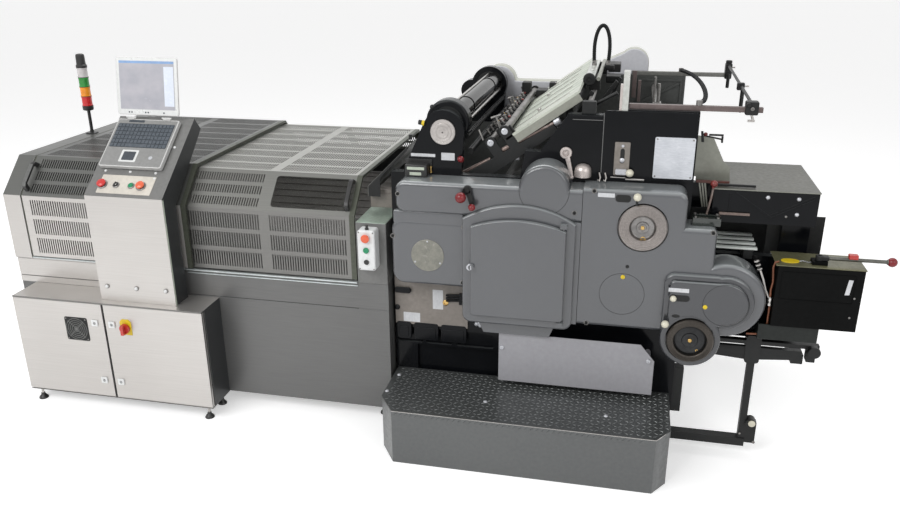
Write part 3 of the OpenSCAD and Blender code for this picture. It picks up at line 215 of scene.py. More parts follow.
# colour, second colour, metal, roughness, size of the broad noise, and the rest by name
finishTable = {
    # coverEnamel, raisedEnamel and blackEnamel take a painted highlight on faces turned up
    "coverEnamel": ((0.078, 0.082, 0.09), (0.068, 0.071, 0.078), 0, 0.27, 1.6,
        {"spread": 0.04, "grain": (900, 900, 900), "coat": 0.9, "topHighlight": 0.8}),
    "raisedEnamel": ((0.036, 0.038, 0.044), (0.03, 0.032, 0.037), 0, 0.26, 1.6,
        {"spread": 0.04, "grain": (900, 900, 900), "coat": 0.7, "topHighlight": 0.7}),
    "blackEnamel": ((0.0035, 0.004, 0.005), (0.006, 0.0065, 0.008), 0, 0.2, 1.2,
        {"spread": 0.05, "grain": (9, 9, 9), "specular": 0.05, "coat": 0.2, "topHighlight": 0.15}),
    "satinBlack": ((0.008, 0.009, 0.009), (0.014, 0.014, 0.014), 0, 0.45, 3, {"bump": 0.1, "specular": 0.3}),
    "graphitePaint": ((0.15, 0.15, 0.148), (0.125, 0.125, 0.123), 0.35, 0.38, 0.9, {"grain": (8, 8, 600)}),
    "stepPaint": ((0.125, 0.13, 0.13), (0.11, 0.114, 0.115), 0.3, 0.36, 1.2,
        {"bump": 0.04, "scuff": 0.06, "scuffColour": (0.28, 0.27, 0.26)}),
    "brushedStainless": ((0.55, 0.53, 0.51), (0.49, 0.47, 0.45), 0.75, 0.36, 0.9, {"grain": (4, 4, 620)}),
    # a darker stainless: painted shade on the right guard's walls, and the cabinet trim uses it too
    "darkStainless": ((0.205, 0.202, 0.194), (0.17, 0.168, 0.16), 0.7, 0.36, 1.4,
        {"grain": (3, 3, 500), "bump": 0.02, "bumpScale": 600}),
    "hoodSteel": ((0.41, 0.41, 0.385), (0.34, 0.34, 0.32), 0.75, 0.4, 1.2,
        {"grain": (3, 420, 420), "bump": 0.02, "bumpScale": 600}),
    "slopeSteel": ((0.185, 0.186, 0.174), (0.15, 0.15, 0.14), 0.7, 0.4, 1.2, {"grain": (3, 420, 420)}),
    # painted shade: the left guard's roof, darker than the right guard's
    "shadedRoof": ((0.12, 0.122, 0.117), (0.085, 0.087, 0.083), 0.5, 0.38, 1.6, {"grain": (3, 420, 420)}),
    "darkHood": ((0.135, 0.137, 0.13), (0.11, 0.112, 0.106), 0.6, 0.38, 1.2, {"grain": (3, 420, 420)}),
    "machinedSteel": ((0.52, 0.5, 0.48), (0.38, 0.365, 0.35), 0.95, 0.26, 6, {"grain": (40, 40, 40)}),
    "dullSteel": ((0.26, 0.25, 0.24), (0.17, 0.165, 0.16), 0.8, 0.42, 9,
        {"grain": (60, 60, 60), "scuff": 0.3, "scuffColour": (0.4, 0.38, 0.36)}),
    "brass": ((0.62, 0.42, 0.16), (0.45, 0.29, 0.1), 0.95, 0.3, 12),
    "copper": ((0.22, 0.08, 0.04), (0.14, 0.052, 0.028), 0.3, 0.36, 12),
    "galvanised": ((0.56, 0.6, 0.6), (0.44, 0.48, 0.48), 0.6, 0.4, 8),
    "panelGray": ((0.36, 0.357, 0.38), (0.325, 0.322, 0.343), 0, 0.45, 1.5, {"bump": 0.05}),
    "taupePaint": ((0.235, 0.21, 0.188), (0.19, 0.17, 0.15), 0, 0.45, 4,
        {"bump": 0.08, "scuff": 0.2, "scuffColour": (0.34, 0.31, 0.28)}),
    "rosyBrown": ((0.22, 0.165, 0.145), (0.13, 0.1, 0.09), 0.5, 0.4, 9,
        {"scuff": 0.5, "scuffColour": (0.42, 0.38, 0.36)}),
    "greenSteel": ((0.5, 0.6, 0.51), (0.4, 0.5, 0.42), 0.5, 0.4, 6),
    "boardGreen": ((0.58, 0.6, 0.52), (0.42, 0.45, 0.39), 0, 0.4, 5,
        {"grain": (4, 90, 4), "scuff": 0.5, "scuffColour": (0.26, 0.24, 0.22)}),
    "olivePaint": ((0.285, 0.29, 0.25), (0.245, 0.25, 0.215), 0.3, 0.36, 3, {"bump": 0.05}),
    "pumpOlive": ((0.16, 0.155, 0.085), (0.11, 0.108, 0.06), 0.2, 0.35, 6),
    "rearGray": ((0.63, 0.635, 0.67), (0.56, 0.565, 0.6), 0, 0.4, 2, {"coat": 0.2, "bump": 0.06}),
    "beltGray": ((0.105, 0.098, 0.088), (0.075, 0.07, 0.063), 0, 0.6, 4, {"bump": 0.1}),
    "slatWhite": ((0.86, 0.9, 0.86), (0.72, 0.77, 0.73), 0, 0.4, 3, {"grain": (3, 120, 3)}),
    "blackPlastic": ((0.013, 0.013, 0.013), (0.02, 0.02, 0.02), 0, 0.36, 3, {"bump": 0.08}),
    "redPlastic": ((0.55, 0.03, 0.02), (0.42, 0.022, 0.016), 0, 0.28, 20, {"coat": 0.4}),
    "mushroomRed": ((0.62, 0.025, 0.02), (0.5, 0.018, 0.015), 0, 0.32, 20, {"coat": 0.2}),
    "knobRed": ((0.22, 0.008, 0.012), (0.15, 0.006, 0.008), 0, 0.2, 20, {"coat": 0.35, "specular": 0.3}),
    "greenPlastic": ((0.01, 0.26, 0.11), (0.008, 0.2, 0.085), 0, 0.3, 20),
    "yellowPlastic": ((0.78, 0.58, 0.02), (0.68, 0.49, 0.015), 0, 0.36, 20),
    "whitePlastic": ((0.78, 0.79, 0.79), (0.7, 0.71, 0.71), 0, 0.36, 9, {"bump": 0.04}),
    "labelPaper": ((0.66, 0.67, 0.69), (0.55, 0.56, 0.58), 0, 0.5, 14, {"grain": (140, 140, 60)}),
    "plateMetal": ((0.6, 0.61, 0.64), (0.44, 0.45, 0.48), 0.4, 0.35, 12, {"grain": (140, 140, 420)}),
    "hoseRubber": ((0.006, 0.0065, 0.007), (0.01, 0.011, 0.012), 0, 0.5, 3,
        {"grain": (20, 20, 20), "specular": 0.2}),
    "laptopSilver": ((0.62, 0.62, 0.61), (0.54, 0.54, 0.53), 0.3, 0.36, 6, {"bump": 0.02}),
    "laptopTrim": ((0.74, 0.75, 0.74), (0.66, 0.67, 0.66), 0.2, 0.34, 6),
    "keyGray": ((0.045, 0.055, 0.068), (0.035, 0.043, 0.054), 0, 0.42, 30),
    "screenGlow": ((0.46, 0.45, 0.48), (0.36, 0.36, 0.4), 0, 0.2, 14, {"grain": (3, 3, 9), "glow": 0.1}),
    "lampClear": ((0.66, 0.63, 0.63), (0.54, 0.51, 0.51), 0, 0.14, 20, {"coat": 0.6}),
    "lampGreen": ((0.03, 0.34, 0.05), (0.02, 0.24, 0.035), 0, 0.16, 20, {"coat": 0.4}),
    "lampOrange": ((0.92, 0.34, 0.015), (0.8, 0.26, 0.01), 0, 0.16, 20, {"coat": 0.4, "glow": 0.08}),
    "lampRed": ((0.74, 0.018, 0.022), (0.6, 0.014, 0.016), 0, 0.16, 20, {"coat": 0.4}),
    "postGray": ((0.165, 0.165, 0.16), (0.135, 0.135, 0.132), 0, 0.4, 3, {"bump": 0.06}),
    "gripGray": ((0.125, 0.127, 0.122), (0.095, 0.097, 0.094), 0, 0.42, 3, {"bump": 0.1}),
    "deskGray": ((0.2, 0.2, 0.195), (0.165, 0.165, 0.16), 0.3, 0.36, 2),
    "paleEdge": ((0.55, 0.6, 0.5), (0.45, 0.5, 0.42), 0, 0.4, 14),
    "stripGray": ((0.66, 0.62, 0.55), (0.56, 0.53, 0.47), 0, 0.42, 6),
    "mushroomOrange": ((0.8, 0.14, 0.05), (0.68, 0.1, 0.035), 0, 0.3, 20, {"coat": 0.3}),
    "keyCap": ((0.085, 0.1, 0.12), (0.06, 0.075, 0.09), 0, 0.42, 60),
    "screenBlue": ((0.22, 0.34, 0.55), (0.18, 0.28, 0.46), 0, 0.22, 9, {"glow": 0.3}),
    "screenPale": ((0.62, 0.66, 0.74), (0.54, 0.58, 0.66), 0, 0.22, 9, {"glow": 0.3}),
    # painted shade for the sides of the cabinet and the console
    "darkSide": ((0.032, 0.034, 0.036), (0.045, 0.047, 0.048), 0.3, 0.36, 1.5),
    "plaqueMetal": ((0.64, 0.66, 0.7), (0.52, 0.54, 0.58), 0.3, 0.4, 16,
        {"grain": (60, 60, 300), "scuff": 0.35, "scuffColour": (0.8, 0.81, 0.84)}),
    "rimBeige": ((0.42, 0.43, 0.355), (0.34, 0.35, 0.29), 0, 0.36, 4, {"coat": 0.3}),
    "discSteel": ((0.5, 0.47, 0.45), (0.38, 0.355, 0.34), 0.6, 0.34, 9),
    "pinkSteel": ((0.6, 0.54, 0.51), (0.48, 0.43, 0.41), 0.5, 0.3, 14),
    "railBrown": ((0.155, 0.12, 0.115), (0.115, 0.09, 0.085), 0.3, 0.4, 9,
        {"scuff": 0.15, "scuffColour": (0.3, 0.27, 0.26)}),
    "oiledSteel": ((0.055, 0.055, 0.052), (0.035, 0.035, 0.033), 0.6, 0.36, 9),
    "frameGray": ((0.085, 0.088, 0.085), (0.062, 0.065, 0.062), 0, 0.4, 2.5, {"specular": 0.3}),
    "pumpBlack": ((0.0022, 0.0024, 0.0024), (0.0045, 0.0046, 0.0046), 0, 0.5, 4, {"specular": 0.07}),
    "bracketGreen": ((0.02, 0.026, 0.022), (0.012, 0.016, 0.014), 0, 0.2, 6, {"coat": 0.6}),
    "deckGray": ((0.28, 0.28, 0.275), (0.235, 0.235, 0.23), 0.2, 0.36, 6),
    "tubeEnamel": ((0.006, 0.006, 0.006), (0.01, 0.01, 0.01), 0, 0.14, 3, {"coat": 0.12, "specular": 0.12}),
    "tapeGreen": ((0.46, 0.52, 0.44), (0.36, 0.42, 0.35), 0, 0.5, 9),
    "rustRed": ((0.22, 0.035, 0.03), (0.14, 0.02, 0.018), 0, 0.35, 20),
    "rustBrown": ((0.14, 0.045, 0.035), (0.08, 0.03, 0.025), 0, 0.45, 12),
    "barSilver": ((0.62, 0.63, 0.6), (0.46, 0.47, 0.44), 0.45, 0.34, 10),
    "railGray": ((0.22, 0.22, 0.205), (0.15, 0.15, 0.14), 0.5, 0.4, 6),
    "oliveTop": ((0.102, 0.102, 0.088), (0.088, 0.088, 0.076), 0.2, 0.45, 2),
    "oliveSteel": ((0.13, 0.13, 0.115), (0.085, 0.085, 0.075), 0.6, 0.34, 8),
    "trayGreen": ((0.015, 0.018, 0.016), (0.01, 0.012, 0.011), 0, 0.36, 3, {"specular": 0.25}),
    "badgeMetal": ((0.26, 0.255, 0.22), (0.17, 0.17, 0.15), 0.5, 0.42, 30,
        {"grain": (260, 260, 260), "scuff": 0.5, "bump": 0.5, "bumpScale": 420}),
    "ivoryPlastic": ((0.74, 0.71, 0.58), (0.64, 0.61, 0.49), 0, 0.28, 20, {"coat": 0.3}),
    "wheelSteel": ((0.29, 0.265, 0.25), (0.21, 0.19, 0.18), 0.85, 0.34, 8, {"grain": (120, 120, 120)}),
    "dishSteel": ((0.25, 0.24, 0.235), (0.16, 0.155, 0.15), 0.85, 0.32, 12),
    "wheelBronze": ((0.075, 0.066, 0.058), (0.05, 0.044, 0.038), 0.8, 0.4, 8, {"grain": (140, 140, 140)}),
    "dishBlack": ((0.022, 0.023, 0.024), (0.012, 0.012, 0.013), 0.5, 0.34, 10),
    "treadSteel": ((0.125, 0.132, 0.132), (0.095, 0.1, 0.1), 0.5, 0.33, 2.5),
    "bandOlive": ((0.085, 0.092, 0.07), (0.06, 0.065, 0.05), 0.4, 0.4, 4),
}
skins = {name: finish(name, *look) for name, look in finishTable.items()}
skins["clearPane"] = clearSheet("clearPane")
print("finishes:", len(skins))

# making pieces: shapes are drawn in millimetres and finished in metres

front, upward, level = (0, -1, 0), (0, 0, 1), (0, 1, 0)


class Shape:
    def __init__(self):
        self.bm = bmesh.new()

    def take(self, part, place=None):
        if place is not None:
            part.transform(place)
        mesh = bpy.data.meshes.new("part")
        part.to_mesh(mesh)
        part.free()
        self.bm.from_mesh(mesh)
        bpy.data.meshes.remove(mesh)
        return self

    def takeMesh(self, mesh, place=None):
        part = bmesh.new()
        part.from_mesh(mesh)
        return self.take(part, place)

    def block(self, x0, x1, y0, y1, z0, z1, edge=1.0):
        part = bmesh.new()
        for v in bmesh.ops.create_cube(part, size=1)["verts"]:
            v.co = ((x0 + x1) / 2 + v.co.x * (x1 - x0), (y0 + y1) / 2 + v.co.y * (y1 - y0),
                    (z0 + z1) / 2 + v.co.z * (z1 - z0))
        edge = min(edge, 0.45 * min(abs(x1 - x0), abs(y1 - y0), abs(z1 - z0)))
        bmesh.ops.bevel(part, geom=part.edges[:], offset=edge, segments=2, affect="EDGES", profile=0.5)
        return self.take(part)

    # turned piece: profile of (radius, height) pairs along the axis
    def turned(self, at, axis, profile, sides=32):
        part = bmesh.new()
        corner = [(math.cos(2 * math.pi * i / sides), math.sin(2 * math.pi * i / sides)) for i in range(sides)]
        rings = [[part.verts.new((r * a, r * b, height)) for a, b in (corner if r > 1e-6 else corner[:1])]
                 for r, height in profile]
        for low, high in zip(rings, rings[1:]):
            for i in range(sides):
                j = (i + 1) % sides
                corners = [low[i % len(low)], low[j % len(low)], high[j % len(high)], high[i % len(high)]]
                corners = list(dict.fromkeys(corners))
                if len(corners) > 2:
                    part.faces.new(corners)
        for ring in (rings[0], rings[-1]):
            if len(ring) > 1:
                part.faces.new(ring)
        bmesh.ops.recalc_face_normals(part, faces=part.faces[:])
        turn = Vector(axis).to_track_quat("Z", "Y").to_matrix().to_4x4()
        return self.take(part, Matrix.Translation(at) @ turn)

    def rod(self, a, b, radius, edge=0.8, sides=24):
        a, b = Vector(a), Vector(b)
        length = (b - a).length
        edge = min(edge, radius * 0.4, length * 0.4)
        return self.turned(a, b - a, [(radius - edge, 0), (radius, edge), (radius, length - edge),
                                      (radius - edge, length)], sides)

    def ball(self, at, radius, axis=upward, sides=28):
        steps = sides // 2
        return self.turned(at, axis, [(radius * math.sin(math.pi * k / steps) if 0 < k < steps else 0,
                                       -radius * math.cos(math.pi * k / steps)) for k in range(steps + 1)], sides)

    # outline drawn in the plane of u and v, thickened along their normal from d0 to d1
    def plate(self, outline, d0, d1, at=(0, 0, 0), u=(1, 0, 0), v=upward, edge=0.8):
        part = bmesh.new()
        face = part.faces.new([part.verts.new((a, b, d0)) for a, b in outline])
        for item in bmesh.ops.extrude_face_region(part, geom=[face])["geom"]:
            if isinstance(item, bmesh.types.BMVert):
                item.co.z = d1
        bmesh.ops.recalc_face_normals(part, faces=part.faces[:])
        if edge > 0:
            rims = [e for e in part.edges if abs(e.verts[0].co.z - e.verts[1].co.z) < 1e-6]
            bmesh.ops.bevel(part, geom=rims, offset=edge, segments=2, affect="EDGES", profile=0.5)
        u, v = Vector(u).normalized(), Vector(v).normalized()
        return self.take(part, Matrix.Translation(at) @ Matrix((u, v, u.cross(v))).transposed().to_4x4())

    # flat piece on an upright face at y, standing out by thick
    def onFront(self, outline, y, thick, edge=0.6, sunk=0.4):
        return self.plate(outline, -sunk, thick, at=(0, y, 0), edge=edge)

    # flat piece that lies in x and y
    def flat(self, outline, d0, d1, edge=0.3):
        return self.plate(outline, d0, d1, v=level, edge=edge)

    def tube(self, points, radius, sides=10, closed=False):
        curve = bpy.data.curves.new("tube", "CURVE")
        curve.dimensions = "3D"
        curve.bevel_depth = radius
        curve.bevel_resolution = max(1, sides // 4)
        curve.use_fill_caps = not closed
        spline = curve.splines.new("POLY")
        spline.points.add(len(points) - 1)
        for knot, point in zip(spline.points, points):
            knot.co = (*point, 1)
        spline.use_cyclic_u = closed
        holder = bpy.data.objects.new("tube", curve)
        mesh = bpy.data.meshes.new_from_object(holder)
        self.takeMesh(mesh)
        bpy.data.meshes.remove(mesh)
        bpy.data.objects.remove(holder)
        bpy.data.curves.remove(curve)
        return self

    # rounds every edge that turns by more than the angle
    def soften(self, width, turn=40, shortest=3.0):
        limit = math.radians(turn)
        sharp = [e for e in self.bm.edges if len(e.link_faces) == 2 and e.calc_face_angle(0) > limit
                 and e.calc_length() > shortest]
        bmesh.ops.bevel(self.bm, geom=sharp, offset=width, segments=2, affect="EDGES", profile=0.5,
                        clamp_overlap=True)
        return self

    # gives the chosen faces another of the piece's finishes
    def paint(self, index, chosen):
        self.bm.normal_update()
        for face in self.bm.faces:
            if chosen(face.normal, face.calc_center_median()):
                face.material_index = index
        return self

    def moved(self, place):
        self.bm.transform(place)
        return self

    # welds the shape, flattens its shading, and puts it in the scene on its body as a finished piece
    def done(self, name, skin, slot=None, replaces=(), body="press", sharp=38):
        bmesh.ops.remove_doubles(self.bm, verts=self.bm.verts[:], dist=0.002)
        mesh = bpy.data.meshes.new(name)
        self.bm.to_mesh(mesh)
        self.bm.free()
        mesh.transform(Matrix.Scale(0.001, 4))
        mesh.shade_smooth()
        mesh.set_sharp_from_angle(angle=math.radians(sharp))
        holder = bpy.data.objects.new("holder", mesh)
        scene.collection.objects.link(holder)
        weighted = holder.modifiers.new("flatter faces", "WEIGHTED_NORMAL")
        weighted.keep_sharp = True
        graph = bpy.context.evaluated_depsgraph_get()
        final = bpy.data.meshes.new_from_object(holder.evaluated_get(graph))
        bpy.data.objects.remove(holder)
        bpy.data.meshes.remove(mesh)
        final.name = name
        for one in skin.split():
            final.materials.append(skins[one])
        made = bpy.data.objects.new(name, final)
        scene.collection.objects.link(made)
        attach(made, body)
        if replaces:
            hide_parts(*([replaces] if isinstance(replaces, str) else replaces))


def mmBox(node):
    # x0, x1, y0, y1, z0, z1 of a CAD node in millimetres
    low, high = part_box(node)
    return [v * 1000 for pair in zip(low, high) for v in pair]


def copyOf(node):
    # a welded copy of a CAD node, to give it round edges
    shape = Shape()
    bm = shape.bm
    bm.from_mesh(cadNodes[node].data)
    bm.transform(Matrix.Scale(1000, 4))
    bmesh.ops.remove_doubles(bm, verts=bm.verts[:], dist=0.003)
    bmesh.ops.dissolve_limit(bm, angle_limit=math.radians(0.6), verts=bm.verts[:], edges=bm.edges[:])
    for layer in list(bm.loops.layers.float_vector):
        bm.loops.layers.float_vector.remove(layer)
    return shape


def roundRect(x0, x1, y0, y1, r):
    line = []
    for cx, cy, start in ((x1 - r, y1 - r, 0), (x0 + r, y1 - r, 90), (x0 + r, y0 + r, 180),
                          (x1 - r, y0 + r, 270)):
        line += arc(cx, cy, r, start, start + 90, 5)
    return line


def arc(cx, cy, r, start, end, steps):
    turns = [math.radians(start + (end - start) * k / steps) for k in range(steps + 1)]
    return [(cx + r * math.cos(a), cy + r * math.sin(a)) for a in turns]


def ringLine(cx, cy, rx, steps, rz=None):
    turns = [2 * math.pi * k / steps for k in range(steps)]
    return [(cx + rx * math.cos(a), cy + (rz or rx) * math.sin(a)) for a in turns]

# Geometry Nodes: slotted sheets, and rows that repeat one small piece


def makeTree(name, sockets):
    tree = bpy.data.node_groups.new(name, "GeometryNodeTree")
    for kind, labels in sockets.items():
        for label in labels:
            tree.interface.new_socket(label, in_out="INPUT", socket_type="NodeSocket" + kind)
    tree.interface.new_socket("Geometry", in_out="OUTPUT", socket_type="NodeSocketGeometry")
    return tree, tree.nodes.new("NodeGroupInput").outputs, tree.nodes.new("NodeGroupOutput")


def dress(tree, geometry, skin, out):
    dressed = output(tree, "GeometryNodeSetMaterial", {"Geometry": geometry, "Material": skin})
    tree.links.new(dressed, out.inputs[0])
    return tree


def joined(tree, *parts):
    both = newNode(tree, "GeometryNodeJoinGeometry")
    for part in parts:
        tree.links.new(part, both.inputs[0])
    return both.outputs[0]


def grow(tree, values, points=None):
    # what a tree makes of its inputs, as a plain mesh
    mesh = points or bpy.data.meshes.new("grown")
    holder = bpy.data.objects.new("grown", mesh)
    scene.collection.objects.link(holder)
    modifier = holder.modifiers.new("grown", "NODES")
    modifier.node_group = tree
    for item in tree.interface.items_tree:
        if item.in_out == "INPUT" and item.name in values:
            modifier[item.identifier] = values[item.name]
    graph = bpy.context.evaluated_depsgraph_get()
    made = bpy.data.meshes.new_from_object(holder.evaluated_get(graph))
    holder.modifiers.clear()
    bpy.data.objects.remove(holder)
    bpy.data.meshes.remove(mesh)
    return made


def slottedTree():
    # sheet from (0, 0) to (Length, Height) with bays and rows of round-ended slots, Sheet thick
    tree, given, out = makeTree("slottedSheet", {
        "Float": ("Length", "Height", "Side Margin", "Edge Margin", "Bay Gap", "Row Gap", "Slot Pitch",
                  "Slot Width", "Corner", "Sheet"), "Int": ("Bays", "Rows"), "Material": ("Skin",)})

    def sums(operation):
        return lambda a, b=0.0, c=0.0: calc(tree, operation, a, b, c)

    plus, minus, times, over = (sums(name) for name in ("ADD", "SUBTRACT", "MULTIPLY", "DIVIDE"))
    timesPlus, floored, rest = sums("MULTIPLY_ADD"), sums("FLOOR"), sums("MODULO")

    def share(whole, margin, gap, count):
        # what each of count parts gets of a whole with margins at its ends and gaps between
        inside = minus(whole, times(margin, 2.0))
        return over(minus(inside, times(minus(count, 1.0), gap)), count)

    length, height, pitch, wide = (given[k] for k in ("Length", "Height", "Slot Pitch", "Slot Width"))
    bay = share(length, given["Side Margin"], given["Bay Gap"], given["Bays"])
    row = share(height, given["Edge Margin"], given["Row Gap"], given["Rows"])
    steps = floored(plus(over(minus(bay, wide), pitch), 0.001))
    across = plus(steps, 1.0)
    start = times(minus(bay, times(steps, pitch)), 0.5)
    number = output(tree, "GeometryNodeInputIndex")
    line = floored(over(plus(number, 0.5), across))
    whichBay = floored(over(plus(line, 0.5), given["Rows"]))
    x = plus(timesPlus(whichBay, plus(bay, given["Bay Gap"]), given["Side Margin"]),
             timesPlus(rest(number, across), pitch, start))
    y = timesPlus(rest(line, given["Rows"]), plus(row, given["Row Gap"]), given["Edge Margin"])
    spot = output(tree, "ShaderNodeCombineXYZ", {0: x, 1: plus(y, times(row, 0.5))})
    amount = times(across, times(given["Rows"], given["Bays"]))
    points = output(tree, "GeometryNodePoints", {"Count": amount, "Position": spot})

    def outline(width, tall):
        return output(tree, "GeometryNodeCurvePrimitiveQuadrilateral", {"Width": width, "Height": tall})

    slot = output(tree, "GeometryNodeFilletCurve", {
        "Curve": outline(wide, row), "Radius": given["Corner"], "Limit Radius": True, "Count": 2}, mode="POLY")
    holes = output(tree, "GeometryNodeInstanceOnPoints", {"Points": points, "Instance": slot})
    holes = output(tree, "GeometryNodeRealizeInstances", {0: holes})
    middle = output(tree, "ShaderNodeCombineXYZ", {0: times(length, 0.5), 1: times(height, 0.5)})
    rim = output(tree, "GeometryNodeTransform", {"Geometry": outline(length, height), "Translation": middle})
    sheet = output(tree, "GeometryNodeFillCurve", {0: joined(tree, holes, rim)})
    offset = output(tree, "ShaderNodeCombineXYZ", {2: given["Sheet"]})
    thick = output(tree, "GeometryNodeExtrudeMesh", {
        "Mesh": sheet, "Offset": offset, "Offset Scale": 1.0, "Individual": False})
    closed = joined(tree, thick, output(tree, "GeometryNodeFlipFaces", {0: sheet}))
    welded = output(tree, "GeometryNodeMergeByDistance", {"Geometry": closed, "Distance": 0.001})
    return dress(tree, welded, given["Skin"], out)


def repeatTree():
    # one small piece on every point, turned to the point's facing and scaled by its size
    tree, given, out = makeTree("repeatPiece", {"Geometry": ("Geometry",), "Object": ("Piece",),
                                                "Material": ("Skin",)})

    def stored(label, kind):
        return output(tree, "GeometryNodeInputNamedAttribute", {"Name": label}, data_type=kind)

    piece = newNode(tree, "GeometryNodeObjectInfo", {"Object": given["Piece"]}).outputs["Geometry"]
    start = output(tree, "FunctionNodeAxisAngleToRotation", {"Axis": upward, "Angle": stored("spin", "FLOAT")})
    facing = {"Vector": stored("facing", "FLOAT_VECTOR")}
    toward = output(tree, "FunctionNodeAlignRotationToVector", facing, axis="Z")
    turned = output(tree, "FunctionNodeRotateRotation", {0: toward, 1: start}, rotation_space="LOCAL")
    placed = output(tree, "GeometryNodeInstanceOnPoints", {
        "Points": given["Geometry"], "Instance": piece, "Rotation": turned, "Scale": stored("size", "FLOAT")})
    real = output(tree, "GeometryNodeRealizeInstances", {0: placed})
    return dress(tree, real, given["Skin"], out)


slottedSheet = slottedTree()
repeatPiece = repeatTree()


def repeated(small, places, skin):
    # a shape that holds one copy of small at each place, given as (point, facing, size, spin)
    mesh = bpy.data.meshes.new("places")
    mesh.from_pydata([p[0] for p in places], [], [])
    for label, kind in (("facing", "FLOAT_VECTOR"), ("size", "FLOAT"), ("spin", "FLOAT")):
        mesh.attributes.new(label, kind, "POINT")
    facing, size, spin = (mesh.attributes[label].data for label in ("facing", "size", "spin"))
    for i, (_, toward, scale, turn) in enumerate(places):
        facing[i].vector = toward
        size[i].value = scale
        spin[i].value = turn
    seed = bpy.data.meshes.new("seed")
    small.bm.to_mesh(seed)
    small.bm.free()
    holder = bpy.data.objects.new("seed", seed)
    scene.collection.objects.link(holder)
    made = grow(repeatPiece, {"Piece": holder, "Skin": skins[skin]}, mesh)
    bpy.data.objects.remove(holder)
    bpy.data.meshes.remove(seed)
    return Shape().takeMesh(made)


screwPlaces = {}
screwShapes = {"socket": [(1, -0.3), (1, 0.62), (0.86, 0.78), (0.52, 0.78), (0.5, 0.3), (0, 0.3)],
               "dome": [(1, -0.3), (1, 0.15), (0.8, 0.45), (0.45, 0.62), (0, 0.68)],
               "flat": [(1, -0.3), (1, 0.3), (0.9, 0.42), (0, 0.42)]}


def screw(point, facing, radius, skin="machinedSteel", kind="socket", body="press"):
    # only noted here, as all screws of one kind are grown together at the end
    screwPlaces.setdefault((body, skin, kind), []).append((point, facing, radius, 0.0))


def growScrews():
    for (body, skin, kind), places in screwPlaces.items():
        small = Shape().turned((0, 0, 0), upward, screwShapes[kind], 18)
        name = "screws_" + kind + "_" + skin + ("" if body == "press" else "_" + body)
        repeated(small, places, skin).done(name, skin, body=body)


# CAD nodes that keep their own shape get a finish

nodeSkins = {
    "galvanised": "mounting_plate",
    "clearPane": "guard_window",
    "whitePlastic": "button_box",
    "dullSteel": "delivery_rails",
    "beltGray": "delivery_conveyor",
    "blackEnamel": "press_base",
    "frameGray": "side_frame_rear",
    "coverEnamel": "upper_cover lower_cover door_casting access_door gear_cover",
    "raisedEnamel": "raised_cover",
    "oiledSteel": "impression_cylinder",
}
for skin, nodes in nodeSkins.items():
    for node in nodes.split():
        materials = cadNodes[node].data.materials
        materials.clear()
        materials.append(skins[skin])
print("CAD nodes finished")

# the sliding guards: five slotted sheets each, with bands at their ends

guardLook = {"pitch": 13.0, "slot": 6.2, "sideMargin": 42, "edgeMargin": 20, "bayGap": 46, "rowGap": 20,
             "sheet": 2.0, "band": 26, "endBand": 5, "proud": 0.5, "wallRows": 3, "slopeRows": 3, "roofRows": 8,
             "bend": {"left": 1085.3, "right": 1077},
             "window": {"sideMargin": 28, "edgeMargin": 24, "corner": 16}}
# both guards are one make, so the differences between their finishes are painted light and shade, the right
# guard's darker walls and the left guard's darker roof most of all
guardSkins = {"left": ("brushedStainless", "darkHood", "shadedRoof"),  # walls, slopes, roof
              "right": ("darkStainless", "slopeSteel", "hoodSteel")}


def slotted(at, up, along, length, height, rows, bays=2, **changes):
    # a slotted sheet whose lower corner stands at a point, with its face away from the guard's inside
    look = {**guardLook, "corner": changes.get("slot", guardLook["slot"]) * 0.45, **changes}
    sheet = grow(slottedSheet, {
        "Bays": bays, "Rows": rows, "Length": float(length), "Height": float(height),
        **{label: float(look[key]) for label, key in (
            ("Side Margin", "sideMargin"), ("Edge Margin", "edgeMargin"), ("Bay Gap", "bayGap"),
            ("Row Gap", "rowGap"), ("Slot Pitch", "pitch"), ("Slot Width", "slot"), ("Corner", "corner"),
            ("Sheet", "sheet"))}})
    along, up = Vector(along).normalized(), Vector(up).normalized()
    place = Matrix.Translation(at) @ Matrix((along, up, along.cross(up))).transposed().to_4x4()
    return sheet, place @ Matrix.Translation((0, 0, -look["sheet"]))


def hoodLine(half, bend, top, foot):
    run = half - top + bend
    return [(-half, foot), (-half, bend), (-run, top), (run, top), (half, bend), (half, foot)]


